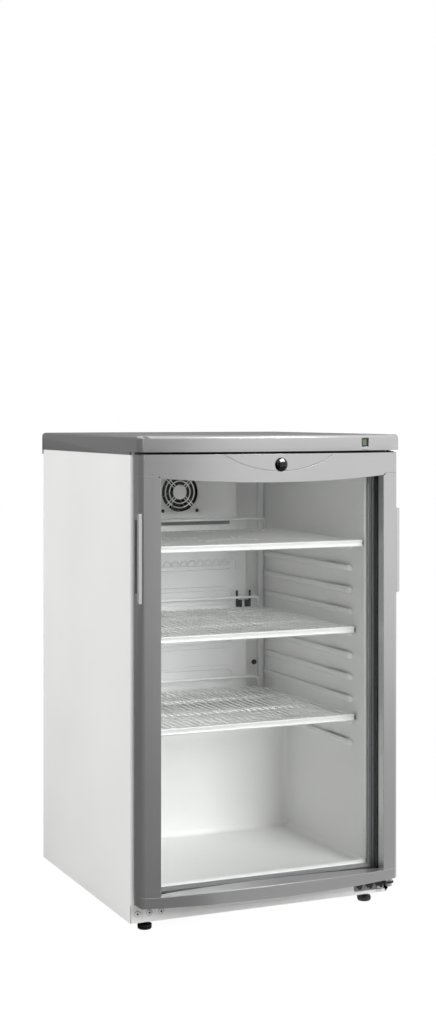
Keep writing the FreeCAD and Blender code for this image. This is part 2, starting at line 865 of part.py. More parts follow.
# Top lid: moulded shell with a bowed front, resting on the side panels
lid = prism("LidShell", "XY_Plane", [bowed("lid_width/2", "depth/2", LID_CORNER, LID_NOSE)],
            "height - lid_skirt", "height")
round_edges(lid, "lid_corner", lambda edge: at_front_corner(edge, LID_CORNER))
round_edges(lid, "lid_round", lambda edge: abs(edge.BoundBox.ZMin - val("height")) < 0.01)
lid_cavity = prism("LidCavity", "XY_Plane",
                   [bowed("lid_width/2 - lid_wall", "depth/2 - lid_wall",
                          f"{LID_CORNER} + lid_wall", f"{LID_NOSE} + lid_wall")],
                   "height - lid_skirt - 1", LID_ROOF)
lid_seat = block("LidSeat", both(f"{CAB_X} + fit"), (f"{FRONT} - fit", f"{BACK} + fit"),
                 ("height - lid_skirt - 1", TOP))
lid_brow = block("LidBrow", both("lid_width"), ("-depth", f"{FRONT} - fit"),
                 ("height - lid_skirt - 1", "height - lid_front_height"))
DISPLAY_X = ("display_x - display_size/2", "display_x + display_size/2")
DISPLAY_Z = ("height - display_drop - display_size/2", "height - display_drop + display_size/2")
DISPLAY_Y = f"({LID_NOSE} + lid_bow*(2*display_x/lid_width)^2)"
display_hole = block("DisplayHole", DISPLAY_X, ("-depth", f"{DISPLAY_Y} + display_depth"), DISPLAY_Z)
HOOK_Y = ("depth/2 - lid_hook_length", "depth/2")
hooks = [block(f"LidHook{i}", x, HOOK_Y, ("height - lid_hook_drop", "height - lid_round"))
         for i, x in enumerate((("-lid_width/2", f"-{CAB_X} - fit"), (f"{CAB_X} + fit", "lid_width/2")))]
lid_open = cut("LidOpen", lid, lid_cavity, lid_seat, lid_brow, display_hole)
node(join("Lid", lid_open, *hooks), "top_lid")

# Display: a black bezel let into the lid's front, and its window
bezel_face = prism("BezelFace", "XY_Plane",
                   [bowed("lid_width/2", "0", f"{LID_CORNER} - fit", f"{LID_NOSE} - fit")],
                   "height - lid_skirt", "height")
WINDOW_X = ("display_x - window_shift - window_width/2", "display_x - window_shift + window_width/2")
WINDOW_Z = ("height - display_drop - window_height/2", "height - display_drop + window_height/2")
window_block = block("WindowBlock", WINDOW_X, ("-depth", f"{DISPLAY_Y} + window_depth"), WINDOW_Z)
node(cut("Bezel", overlap("BezelBlank", display_hole, bezel_face), window_block), "display_bezel")
window_face = prism("WindowFace", "XY_Plane", [bowed("lid_width/2", "0", LID_CORNER, LID_NOSE)],
                    "height - lid_skirt", "height")
node(overlap("Window", window_block, window_face), "display_window")
CONTROLLER_Y = f"({DISPLAY_Y} + display_depth)"
controller = prism("Controller", "XZ_Plane",
                   [rectangle(("display_x - controller_shift - controller_width/2",
                               "display_x - controller_shift + controller_width/2"),
                              (f"{LID_ROOF} - controller_height", LID_ROOF))],
                   CONTROLLER_Y, f"{CONTROLLER_Y} + controller_depth")
node(controller, "controller_box")

# Fan cover: moulded box with a ring grille
cover = prism("CoverBox", "XZ_Plane", [rectangle(both("cover_half"), ("cover_low", "liner_ceiling"))],
              COVER_FRONT, f"{COVER_FRONT} + cover_depth")
round_edges(cover, "cover_round",
            lambda edge: abs(edge.BoundBox.YMax - val(COVER_FRONT)) < 0.01
            and edge.CenterOfMass.z < val("liner_ceiling") - 1)
cover_room = block("CoverRoom", both("cover_half - cover_wall"),
                   (f"{COVER_FRONT} + cover_wall", f"{COVER_FRONT} + cover_depth + 1"),
                   ("cover_low + cover_wall", "liner_ceiling + 1"))


RING_SIDES = 16


def fan_ring(name, inner, outer):
    """Annular slot through the cover's face."""
    start = ("0", f"{COVER_FRONT} - 1", "fan_height")
    outside = stub(name + "Out", RING_SIDES, outer, "y", start, "cover_wall + 2")
    inside = stub(name + "In", RING_SIDES, inner, "y", start, "cover_wall + 2")
    return cut(name, outside, inside)


slot_step = "(grille_slot + grille_ring)"
slots = [fan_ring(f"Slot{i}", f"grille_disc + {i}*{slot_step}",
                  f"grille_disc + {i}*{slot_step} + grille_slot")
         for i in range(int(val("grille_slots")))]
GRILLE_OUT = f"(grille_disc + grille_slots*{slot_step})"


def spoke(name, angle, offset):
    """Thin bar across the grille at an angle, set to one side of the fan's axis."""
    bar = doc.addObject("Part::Box", name)
    bind(bar, "Length", f"2*{GRILLE_OUT}")
    bind(bar, "Width", "cover_wall + 4")
    bind(bar, "Height", "spoke_width")
    turn = FreeCAD.Rotation(V(0, 1, 0), angle)
    lean = math.radians(angle)
    corner_x = f"(-{GRILLE_OUT}*({math.cos(lean)}) + ({offset})*({math.sin(lean)}))"
    corner_z = f"({GRILLE_OUT}*({math.sin(lean)}) + ({offset})*({math.cos(lean)}))"
    return place(bar, corner_x, f"{COVER_FRONT} - 2", f"fan_height + {corner_z}", turn=turn)


spokes = [spoke(f"Spoke{angle}{side}", angle, offset)
          for angle in (45, 135)
          for side, offset in (("a", "spoke_gap/2"), ("b", "-spoke_gap/2 - spoke_width"))]
grille = cut("GrilleSlots", join("SlotRings", *slots), *spokes)
node(cut("FanCover", cover, cover_room, grille), "fan_cover")

# Axial fan: square frame with the motor hub on struts, and the rotor
frame_block = block("FanBlock", both("fan_frame_half"), (f"{COVER_FRONT} + cover_wall", FAN_BACK),
                    ("fan_height - fan_frame_half", "fan_height + fan_frame_half"))
fan_throat = stub("FanThroat", RING_SIDES, "fan_bore", "y", ("0", f"{COVER_FRONT}", "fan_height"),
                  "fan_frame_depth + 5")
HUB_FRONT = f"({COVER_FRONT} + cover_wall + rotor_gap + rotor_hub_length + pin_gap)"
motor_hub = stub("MotorHub", 12, "motor_radius", "y", ("0", HUB_FRONT, "fan_height"),
                 f"{FAN_BACK} - {HUB_FRONT}")
struts = [block("StrutX", both("fan_bore + 1"), (f"{FAN_BACK} - strut_depth", FAN_BACK),
                ("fan_height - strut_width/2", "fan_height + strut_width/2")),
          block("StrutZ", both("strut_width/2"), (f"{FAN_BACK} - strut_depth", FAN_BACK),
                ("fan_height - fan_bore - 1", "fan_height + fan_bore + 1"))]
shaft_bore = rod("ShaftBore", "shaft_radius + running_gap", "y", ("0", f"{HUB_FRONT} - 1", "fan_height"),
                 "shaft_length + 1")
fan_frame = join("FanFrameSolid", cut("FanFrameRing", frame_block, fan_throat), motor_hub, *struts)
node(cut("FanFrame", fan_frame, shaft_bore), "fan_frame")
ROTOR_FRONT = f"({COVER_FRONT} + cover_wall + rotor_gap)"
rotor_hub = stub("RotorHub", 14, "rotor_hub", "y", ("0", ROTOR_FRONT, "fan_height"), "rotor_hub_length")
rotor_shaft = rod("RotorShaft", "shaft_radius", "y", ("0", ROTOR_FRONT, "fan_height"),
                  "rotor_hub_length + shaft_length - pin_gap")


def blade(index):
    """Flat blade pitched about its own radius and turned to its place round the hub."""
    paddle = doc.addObject("Part::Box", f"Blade{index}")
    bind(paddle, "Length", "rotor_radius - rotor_hub/2 - 1")
    bind(paddle, "Width", "blade_chord")
    bind(paddle, "Height", "blade_sheet")
    pitch = FreeCAD.Placement(V(), FreeCAD.Rotation(V(1, 0, 0), val("blade_pitch")))
    seat = FreeCAD.Placement(V(val("rotor_hub/2"), -val("blade_chord/2"), -val("blade_sheet/2")),
                             FreeCAD.Rotation())
    round_hub = FreeCAD.Placement(V(), FreeCAD.Rotation(V(0, 1, 0), 360 * index / val("blade_count")))
    centre = FreeCAD.Placement(V(0, val(f"{ROTOR_FRONT} + rotor_hub_length/2"), val("fan_height")),
                               FreeCAD.Rotation())
    paddle.Placement = centre * round_hub * pitch * seat
    return paddle


blades = [blade(index) for index in range(int(val("blade_count")))]
node(join("Rotor", rotor_hub, rotor_shaft, *blades), "fan_impeller")

# Evaporator plate with raised refrigerant channels, its clips and the probe
evap = prism("Evaporator", "XZ_Plane", [rectangle(both("evap_half"), ("evap_low", "evap_high"))],
             "evap_front", "evap_front + evap_sheet")
loops = [racetrack("0", "channel_first", "channel_half", "channel_loop"),
         racetrack("0", "channel_first", "channel_half", "channel_loop - channel_width")]
channel = extrude(evap, "XZ_Plane", loops, "evap_front - channel_rise", "evap_front")
repeat(evap, channel, "Z_Axis", "channel_pitch", "channel_count")
SPACER_X = "(evap_half - channel_width)"
spacers = [stub(f"EvapSpacer{i}", 8, "channel_width/2", "y", (x, "evap_front + evap_sheet", z),
               "liner_back - evap_front - evap_sheet")
           for i, (x, z) in enumerate((x, z) for x in (f"-{SPACER_X}", SPACER_X)
                                      for z in ("evap_low + channel_loop", "evap_high - channel_loop"))]
node(join("EvaporatorPlate", evap, *spacers), "evaporator_plate")


def clip(index):
    """Stepped clip: a wide foot and a narrow prong above it."""
    left = f"(clip_x + {index}*clip_pitch)"
    depth = ("evap_front - clip_depth", "evap_front")
    foot = block(f"ClipFoot{index}", (left, f"{left} + clip_width"), depth,
                 ("clip_low", "clip_low + clip_height"))
    prong_left = f"({left} + {index}*(clip_width - clip_prong))"
    prong = block(f"ClipProng{index}", (prong_left, f"{prong_left} + clip_prong"), depth,
                  ("clip_low", "clip_low + clip_prong_height"))
    return join(f"Clip{index}", foot, prong)


node(group("Clips", clip(0), clip(1)), "evaporator_clips")
probe_profile = [("probe_radius", "0"), ("probe_radius", "probe_length/2"), ("probe_tip", "probe_length")]
node(facetted("Probe", 12, probe_profile, "-y", ("probe_x", "liner_back", "probe_z")), "wall_probe")

# Door frame: four pieces cut from one bowed door outline
door = prism("DoorBlank", "XY_Plane", [bowed(DOOR_X, DOOR_BACK, DOOR_CORNER, DOOR_NOSE)], "door_low",
             DOOR_TOP)
round_edges(door, "door_corner", lambda edge: at_front_corner(edge, DOOR_CORNER))
glass_seat = block("GlassSeat", both(f"{GLASS_X} + seat_slack"), (GLASS_FRONT, f"{DOOR_BACK} + 1"),
                   (f"{GLASS_LOW} - seat_slack", f"{GLASS_HIGH} + seat_slack"))
sight = prism("SightOpening", "XZ_Plane",
              [[(f"-{STILE_X} - rail_step", LOW_SEAM), (f"-{STILE_X}", LOW_SEAM, "-low_rail_rise"),
                (STILE_X, LOW_SEAM), (f"{STILE_X} + rail_step", LOW_SEAM),
                (f"{STILE_X} + rail_step", TOP_SEAM),
                (STILE_X, f"{TOP_SEAM} - rail_step", "-(top_rail_dip - rail_step)"),
                (f"-{STILE_X}", f"{TOP_SEAM} - rail_step"), (f"-{STILE_X} - rail_step", TOP_SEAM)]],
              "-depth", "0")
DEEP = ("-depth", "0")
WIDE = both("lid_width")


def rail(name, z, *cuts):
    """Part of the door outline between two heights, open over the glass."""
    return cut(name, overlap(name + "Blank", door, block(name + "Span", WIDE, DEEP, z)), sight, glass_seat,
               *cuts)


ends = [block("LeftEnd", ("-lid_width", f"-{STILE_X} - rail_step"), DEEP, (LOW_SEAM, TOP_SEAM)),
        block("RightEnd", (f"{STILE_X} + rail_step", "lid_width"), DEEP, (LOW_SEAM, TOP_SEAM))]

# Lock panel: a lens-shaped insert in the top rail
lens = prism("Lens", "XZ_Plane", [[("-lens_half", DOOR_TOP, "lens_depth"), ("lens_half", DOOR_TOP)]],
             "-depth", "0")
lens_inner = prism("LensInner", "XZ_Plane",
                   [[("-lens_half + 2*lens_seam", DOOR_TOP, "lens_depth - lens_seam"),
                     ("lens_half - 2*lens_seam", DOOR_TOP)]],
                   "-depth", "0")
door_core = prism("DoorCore", "XY_Plane",
                  [bowed(DOOR_X, DOOR_BACK, f"{DOOR_CORNER} + lens_sheet", f"{DOOR_NOSE} + lens_sheet")],
                  "door_low", DOOR_TOP)
lens_skin = cut("LensSkin", door, door_core)
lens_pocket = overlap("LensPocket", lens_skin, lens)
lock_hole = rod("LockHole", "lock_barrel + running_gap", "y", ("0", f"{DOOR_NOSE} - lock_head", LOCK_Z),
                "lock_length + lock_head")
node(cut("LockPanel", overlap("LockPanelBlank", lens_skin, lens_inner), lock_hole), "lock_panel")
CAM_Y = f"({DOOR_NOSE} + lock_length)"
cam_pocket = block("CamPocket", ("-cam_width/2 - cam_room", "cam_length + cam_room"),
                   (f"{CAM_Y} - 2*cam_room", f"{CAM_Y} + cam_sheet + cam_room"),
                   (f"{LOCK_Z} - cam_width/2 - cam_room", f"{DOOR_TOP} + 1"))
BUSH_RADIUS = "(pin_radius + running_gap + bush_wall)"
BUSH_SIDES = 12
bush_bores = [stub("LowBushBore", BUSH_SIDES, BUSH_RADIUS, "z", (HINGE_X, HINGE_Y, "door_low - 1"),
                   "bush_length + 1"),
              stub("TopBushBore", BUSH_SIDES, BUSH_RADIUS, "z",
                   (HINGE_X, HINGE_Y, f"{DOOR_TOP} - bush_length"), "bush_length + 1")]
node(rail("TopRail", (f"{TOP_SEAM} - top_rail_dip - 1", DOOR_TOP), *ends, lens_pocket, lock_hole, cam_pocket,
          bush_bores[1]),
     "door_top_rail")
node(rail("LowRail", ("door_low", f"{LOW_SEAM} + low_rail_rise + 1"), *ends, bush_bores[0]),
     "door_bottom_rail")

# Stiles with a finger grip let into each outer side
grip = block("Grip", ("-lid_width", f"grip_depth - {DOOR_X}"), ("-grip_front", "grip_width - grip_front"),
             ("grip_low", "grip_low + grip_length"))
left_blank = overlap("LeftStileBlank", door,
                     block("LeftStileSpan", ("-lid_width", f"-{STILE_X}"), DEEP, (LOW_SEAM, TOP_SEAM)))
corner_key = block("CornerKey", (f"-{STILE_X} - rail_step", f"-{STILE_X} + 1"), DEEP,
                   (f"{TOP_SEAM} - rail_step", TOP_SEAM))
left_stile = node(cut("LeftStile", left_blank, glass_seat, grip, corner_key), "door_left_stile")
node(mirrored("RightStile", left_stile), "door_right_stile")
FIN_OUT = "lid_width/2"
fin_profile = [(f"-{FIN_OUT}", "-fin_front + fin_sheet"), (f"-{FIN_OUT}", "-fin_front + 1"),
               (f"-{FIN_OUT} + 1", "-fin_front"), (f"-{DOOR_X} + door_corner/2", "-fin_front - 1"),
               (f"-{DOOR_X} + 1", "-grip_front - fit"), (f"-{DOOR_X}", "-grip_front - fit"),
               (f"-{DOOR_X} - 1", "-fin_front + fin_sheet")]
fin = prism("FinBlank", "XY_Plane", [fin_profile], "fin_low", "fin_low + fin_length")
round_edges(fin, "fin_round", lambda edge: not is_upright(edge) and edge.BoundBox.XMax < 0.01 - val(FIN_OUT))
left_handle = node(cut("LeftHandle", fin, door), "left_handle")
node(mirrored("RightHandle", left_handle), "right_handle")

# Double glazing with a dark spacer frame
GLASS = (both(GLASS_X), (GLASS_LOW, GLASS_HIGH))
node(prism("OuterGlass", "XZ_Plane", [rectangle(*GLASS)], GLASS_FRONT, f"{GLASS_FRONT} + glass_sheet"),
     "outer_glass")
node(prism("InnerGlass", "XZ_Plane", [rectangle(*GLASS)], f"{DOOR_BACK} - glass_sheet", DOOR_BACK),
     "inner_glass")
SPACED = (both(f"{GLASS_X} - spacer_width"), (f"{GLASS_LOW} + spacer_width", f"{GLASS_HIGH} - spacer_width"))
node(ring("Spacer", "XZ_Plane", GLASS, SPACED, f"{GLASS_FRONT} + glass_sheet", f"{DOOR_BACK} - glass_sheet"),
     "glass_spacer")

# Inner frame that holds the glass, and the stepped gasket on it
INNER_OPEN = (both("inner_frame_half"), (f"{LOW_SEAM} - rail_step", f"{TOP_SEAM} - fit"))
INNER_RIM = (both(f"{DOOR_X} - inner_frame_inset"),
             ("door_low + inner_frame_inset", f"{DOOR_TOP} - inner_frame_inset"))
INNER_BACK = f"({DOOR_BACK} + inner_frame_sheet)"
node(ring("InnerFrame", "XZ_Plane", INNER_RIM, INNER_OPEN, DOOR_BACK, INNER_BACK), "door_inner_frame")


def grown(opening, amount):
    """Rectangle around an opening, larger by an amount on each side."""
    (left, right), (low, high) = opening
    return (f"{left} - ({amount})", f"{right} + ({amount})"), (f"{low} - ({amount})", f"{high} + ({amount})")


GASKET_MID = f"({FRONT} - (gasket_gap - inner_frame_sheet)/2)"
GASKET_STEP = "(gasket_width - gasket_face)/2"
LOW_GROWN = "(low_rail - rail_step - inner_frame_inset)"
gasket_base = ring("GasketBase", "XZ_Plane", grown(INNER_OPEN, f"min(gasket_width; {LOW_GROWN})"), INNER_OPEN,
                   INNER_BACK, GASKET_MID)
gasket_lip = ring("GasketLip", "XZ_Plane",
                  grown(INNER_OPEN, f"min(gasket_width; {LOW_GROWN}) - {GASKET_STEP}"),
                  grown(INNER_OPEN, GASKET_STEP), GASKET_MID, f"{FRONT} - fit")
node(join("Gasket", gasket_base, gasket_lip), "door_gasket")

# Lower hinge: toothed plate on the base lip with an arm that carries the pin
tooth_line = []
for index in range(int(val("arm_teeth"))):
    right = f"({HINGE_X} - {index}*arm_tooth_pitch)"
    tooth_line += [(right, "arm_tooth_root"), (f"{right} - arm_tooth_pitch/2", "arm_tooth_tip")]
plate_loop = [(ARM_LEFT, "arm_tooth_root"), (ARM_LEFT, "arm_top"), (HINGE_X, "arm_top")] + tooth_line
hinge_plate = prism("HingePlate", "XZ_Plane", [plate_loop], FRONT, f"{FRONT} + base_sheet")
ARM_Z = ("arm_top - arm_sheet", "arm_top")
hinge_arm = block("HingeArm", (f"{HINGE_X} - arm_radius", f"{HINGE_X} + arm_radius"),
                  (HINGE_Y, f"{FRONT} + base_sheet"), ARM_Z)
arm_end = stub("ArmEnd", 16, "arm_radius", "z", (HINGE_X, HINGE_Y, ARM_Z[0]), "arm_sheet")
PIN_HOLE = "pin_radius + running_gap"
arm_hole = stub("ArmHole", 6, "pin_radius", "z", (HINGE_X, HINGE_Y, f"{ARM_Z[0]} - 1"), "arm_sheet + 2")
node(cut("LowerHinge", join("LowerHingeSolid", hinge_plate, hinge_arm, arm_end), arm_hole),
     "lower_hinge_bracket")

# Upper hinge plate on top of the cabinet, under the lid
upper_plate = block("UpperPlate", (f"{HINGE_X} - plate_width/2", "lid_width/2 - lid_wall - fit"),
                    (HINGE_Y, f"{HINGE_Y} + plate_length"), (TOP, f"{TOP} + plate_sheet"))
upper_end = stub("UpperEnd", 16, "arm_radius", "z", (HINGE_X, HINGE_Y, TOP), "plate_sheet")
upper_hole = stub("UpperHole", 6, "pin_radius", "z", (HINGE_X, HINGE_Y, f"{TOP} - 1"), "plate_sheet + 2")
node(cut("UpperHinge", join("UpperHingeSolid", upper_plate, upper_end), upper_hole), "upper_hinge_bracket")

# Hinge pins: the lower one has a shoulder that carries the door
SHOULDER_TOP = "(door_low - bush_flange - pin_gap)"
BUSH_TOP = "(door_low + bush_length)"
PLATE_TOP = f"({TOP} + plate_sheet)"
HEAD_LOW = f"({ARM_Z[0]} - pin_head_length)"
PIN_LOW = f"({DOOR_TOP} - bush_length + 2)"


def on_hinge(make, name, *size, low, high):
    """Round or flat-sided piece on the hinge axis between two heights."""
    return make(name, *size, "z", (HINGE_X, HINGE_Y, low), f"({high}) - ({low})")


lower_pin = join("LowerPin", on_hinge(rod, "LowerShank", "pin_radius", low=SHOULDER_TOP,
                                      high=f"{BUSH_TOP} - 2"),
                 on_hinge(stub, "LowerNut", 6, "pin_head", low=HEAD_LOW, high=ARM_Z[0]),
                 on_hinge(stub, "LowerSeat", 6, "pin_radius", low=ARM_Z[0], high="arm_top"),
                 on_hinge(stub, "LowerShoulder", 12, "pin_shoulder", low="arm_top", high=SHOULDER_TOP))
upper_pin = join("UpperPin", on_hinge(rod, "UpperShank", "pin_radius", low=PIN_LOW, high=TOP),
                 on_hinge(stub, "UpperSeat", 6, "pin_radius", low=TOP, high=PLATE_TOP),
                 on_hinge(stub, "UpperHead", 6, "pin_head", low=PLATE_TOP,
                          high=f"{PLATE_TOP} + pin_head_length"))
node(group("HingePins", lower_pin, upper_pin), "hinge_pins")


def bush(name, sleeve, flange):
    """Flanged bush; its flange lies outside the door and its sleeve runs into the rail."""
    body = join(name + "Solid", on_hinge(stub, name + "Sleeve", BUSH_SIDES, BUSH_RADIUS, low=sleeve[0],
                                         high=sleeve[1]),
                on_hinge(stub, name + "Flange", BUSH_SIDES, "bush_flange_radius", low=flange[0],
                         high=flange[1]))
    bore = on_hinge(rod, name + "Bore", PIN_HOLE, low=f"{sleeve[0]} - bush_length",
                    high=f"{sleeve[1]} + bush_length")
    return cut(name, body, bore)


low_bush = bush("LowBush", ("door_low", BUSH_TOP), ("door_low - bush_flange", "door_low"))
top_bush = bush("TopBush", (f"{DOOR_TOP} - bush_length", DOOR_TOP), (DOOR_TOP, f"{DOOR_TOP} + bush_flange"))
node(group("Bushes", low_bush, top_bush), "hinge_bushes")

# Lock: domed cylinder through the top rail, its cam, and the strike under the lid
HEAD_BACK = "(-pin_gap)"
head_profile = [("lock_head*0.6", f"{HEAD_BACK} - lock_dome"), ("lock_head", f"{HEAD_BACK} - lock_dome/3"),
                ("lock_head", HEAD_BACK)]
lock_head = facetted("LockHead", 12, head_profile, "y", ("0", DOOR_NOSE, LOCK_Z))
lock_barrel = rod("LockBarrel", "lock_barrel", "y", ("0", f"{DOOR_NOSE} + {HEAD_BACK}", LOCK_Z),
                  f"lock_length - {HEAD_BACK}")
node(join("LockCylinder", lock_head, lock_barrel), "lock_cylinder")
cam_loop = [("-cam_width/2", f"{LOCK_Z} - cam_width/2"), ("cam_length", f"{LOCK_Z} - cam_width/2"),
            ("cam_length", f"{LOCK_Z} + cam_width/2"), ("-cam_width/2", f"{LOCK_Z} + cam_width/2")]
node(prism("LockCam", "XZ_Plane", [cam_loop], CAM_Y, f"{CAM_Y} + cam_sheet"), "lock_cam")
STRIKE_Y = f"({CAM_Y} - strike_gap)"
strike_profile = [(f"{STRIKE_Y} - strike_sheet", TOP), (STRIKE_Y, TOP),
                  (STRIKE_Y, f"{LID_ROOF} - strike_sheet"),
                  (f"{STRIKE_Y} + strike_width/2", f"{LID_ROOF} - strike_sheet"),
                  (f"{STRIKE_Y} + strike_width/2", LID_ROOF),
                  (f"{STRIKE_Y} - strike_sheet", LID_ROOF)]
node(prism("LockStrike", "YZ_Plane", [strike_profile], *both("strike_width/2")), "lock_strike")


# Wire shelves: welded grid, front trim and raised back stop
def wire_section(across, centre_x, centre_y):
    """Wire section with flats, so that crossing wires seat on each other."""
    half = f"({across})/2"
    return rectangle((f"({centre_x}) - {half}", f"({centre_x}) + {half}"),
                     (f"({centre_y}) - {half}", f"({centre_y}) + {half}"))


def shelf(number, front, level):
    """One shelf on its pair of ribs."""
    name = f"Shelf{number}"
    rear = f"({front} + shelf_depth)"
    trim_back = f"({front} + trim_depth)"
    cross_z = f"({level} + cross_wire/2)"
    grid_z = f"({level} + cross_wire + grid_wire/2)"
    grid = doc.addObject("PartDesign::Body", name + "Grid")
    first_cross = f"({trim_back} + cross_inset)"
    cross_pitch = f"({rear} - cross_rear_inset - {first_cross})/(cross_count - 1)"
    bar = extrude(grid, "YZ_Plane", [wire_section("cross_wire", first_cross, cross_z)], *both("shelf_half"))
    repeat(grid, bar, "Y_Axis", cross_pitch, "cross_count")
    wire = extrude(grid, "XZ_Plane", [wire_section("grid_wire", "-grid_pitch*(grid_count - 1)/2", grid_z)],
                   f"{front} + 2*trim_wall", rear)
    repeat(grid, wire, "X_Axis", "grid_pitch", "grid_count")
    node(grid, f"shelf_{number}_grid")
    trim_high = f"({level} + cross_wire + grid_wire + trim_wall)"
    trim_low = f"({trim_high} - trim_height)"
    trim_profile = [(front, trim_low), (trim_back, trim_low), (trim_back, f"{trim_low} + trim_wall"),
                    (f"{front} + 2*trim_wall", f"{trim_low} + trim_wall"),
                    (f"{front} + 2*trim_wall", f"{trim_high} - trim_wall"),
                    (trim_back, f"{trim_high} - trim_wall"), (trim_back, trim_high), (front, trim_high)]
    node(prism(name + "Trim", "YZ_Plane", [trim_profile], *both("shelf_half")), f"shelf_{number}_front_trim")
    stop_z = f"({level} + cross_wire + grid_wire)"
    stop_y = f"({rear} - cross_wire/2)"
    left, right = both("grid_pitch*stop_wires")
    route = [(left, stop_y, stop_z), (left, stop_y, f"{stop_z} + stop_rise"),
             (right, stop_y, f"{stop_z} + stop_rise"), (right, stop_y, stop_z)]
    node(pipe(name + "Stop", "cross_wire/2", route, "stop_bend"), f"shelf_{number}_back_stop")


for number in (1, 2, 3):
    forward = "shelf_forward" if number == 1 else "0"
    rank = (RIBS - 1) // 2 * (number - 1)
    shelf(number, f"(shelf_front - {forward})", f"(rib_top - rib_pitch*{rank})")

# Levelling feet: a disc on a threaded stem
foot_profile = [("foot_radius - 1", "0"), ("foot_radius", "1"), ("foot_radius", "foot_height*0.6"),
                ("foot_radius*0.5", "foot_height"), ("stem_radius", "foot_height"),
                ("stem_radius", "foot_height + stem_length")]
for label, (x, y) in FEET.items():
    node(facetted(label.title().replace("_", ""), 10, foot_profile, "z", (x, y, "0")), label)

# Machine bay: compressor on rubber mounts, terminal cover, drip tray and drain
COMP = ("comp_x", "comp_y")
COMP_SEAM = "(comp_low + comp_seam_height)"
shell_profile = [("comp_radius*0.7", "comp_low"), ("comp_radius", "comp_low + comp_radius*0.3"),
                 ("comp_radius", f"{COMP_SEAM} - comp_foot"), ("comp_seam", f"{COMP_SEAM} - comp_foot"),
                 ("comp_seam", COMP_SEAM), ("comp_radius", COMP_SEAM),
                 ("comp_radius", "comp_low + comp_height*0.7"),
                 ("comp_radius*0.86", "comp_low + comp_height*0.87"),
                 ("comp_radius*0.62", "comp_low + comp_height*0.96"),
                 ("comp_radius*0.4", "comp_low + comp_height")]
COMP_SIDES = 12
comp_shell = facetted("CompShell", COMP_SIDES, shell_profile, "z", (*COMP, "0"))
comp_foot = block("CompFoot", ("comp_x - comp_foot_half", "comp_x + comp_foot_half"),
                  ("comp_y - comp_foot_span", "comp_y + comp_foot_span"),
                  ("comp_low", "comp_low + comp_foot"))
node(join("Compressor", comp_shell, comp_foot), "compressor")
GROMMET_X = "(comp_foot_half - grommet_radius)"
GROMMET_Y = "(comp_foot_span - grommet_radius)"
grommets = [stub(f"Grommet{i}", 8, "grommet_radius", "z",
                 (f"comp_x + ({sx})*{GROMMET_X}", f"comp_y + ({sy})*{GROMMET_Y}", PAN),
                f"comp_low - {PAN}")
            for i, (sx, sy) in enumerate(((-1, -1), (1, -1), (-1, 1), (1, 1)))]
node(group("Grommets", *grommets), "compressor_mounts")
terminal_block = block("TerminalBlock", ("comp_x - comp_radius - terminal_width", "comp_x"),
                       ("comp_y - terminal_depth/2", "comp_y + terminal_depth/2"),
                       (COMP_SEAM, f"{COMP_SEAM} + terminal_height"))
comp_room = stub("CompRoom", COMP_SIDES, "comp_radius", "z", (*COMP, "comp_low"), "comp_height")
node(cut("Terminal", terminal_block, comp_room), "compressor_terminal_cover")
TRAY_Z = "(comp_low + comp_height)"
tray_x = ("comp_x - tray_length/2", "comp_x + tray_length/2")
tray_y = ("comp_y - tray_depth/2", "comp_y + tray_depth/2")
tray_block = block("TrayBlock", tray_x, tray_y, (TRAY_Z, f"{TRAY_Z} + tray_height"))
tray_room = block("TrayRoom", (f"{tray_x[0]} + tray_wall", f"{tray_x[1]} - tray_wall"),
                  (f"{tray_y[0]} + tray_wall", f"{tray_y[1]} - tray_wall"),
                  (f"{TRAY_Z} + tray_wall", f"{TRAY_Z} + tray_height + 1"))
node(cut("Tray", tray_block, tray_room), "drip_tray")
DRAIN_LOW = "(recess_top - drain_drop)"
drain_outside = stub("DrainOutside", 12, "drain_radius", "z", (*DRAIN, DRAIN_LOW), f"step_top - {DRAIN_LOW}")
drain_inside = stub("DrainInside", 12, "drain_radius - drain_wall", "z", (*DRAIN, f"{DRAIN_LOW} - 1"),
                    f"step_top - {DRAIN_LOW} + 2")
node(cut("Drain", drain_outside, drain_inside), "drain_tube")

# Wire-on-tube condenser on stand-offs behind the rear panel
coil_route = []
for run in range(int(val("coil_runs"))):
    level = f"coil_top - {run}*coil_pitch"
    sides = ("coil_half", "-coil_half") if run % 2 == 0 else ("-coil_half", "coil_half")
    coil_route += [(side, "coil_y", level) for side in sides]
coil_tube = pipe("CoilTube", "tube_radius", coil_route, "coil_pitch/2 - 2*tube_radius")
coil_wires = doc.addObject("PartDesign::Body", "CoilWires")
wire_y = "coil_y + tube_radius + coil_wire/2"
coil_wire = extrude(coil_wires, "XY_Plane",
                    [rectangle(("-coil_wire_pitch*(coil_wire_count - 1)/2",
                                "coil_wire - coil_wire_pitch*(coil_wire_count - 1)/2"),
                               (f"{wire_y} - coil_wire/2", f"{wire_y} + coil_wire/2"))],
                    "coil_top - (coil_runs - 1)*coil_pitch - coil_wire_over", "coil_top + coil_wire_over")
repeat(coil_wires, coil_wire, "X_Axis", "coil_wire_pitch", "coil_wire_count")
node(group("Condenser", coil_tube, coil_wires), "condenser")
stand_offs = [block(f"StandOff{i}", (f"({s})*bracket_x - bracket_width/2",
                                     f"({s})*bracket_x + bracket_width/2"),
                    (REAR_PANEL, "coil_y - tube_radius"),
                    (f"{z} - bracket_height/2", f"{z} + bracket_height/2"))
              for i, (s, z) in enumerate((s, z) for s in ("-1", "1") for z in
                                         ("(coil_top - coil_pitch)",
                                          "(coil_top - coil_pitch*(coil_runs - 2))"))]
node(group("StandOffs", *stand_offs), "condenser_brackets")

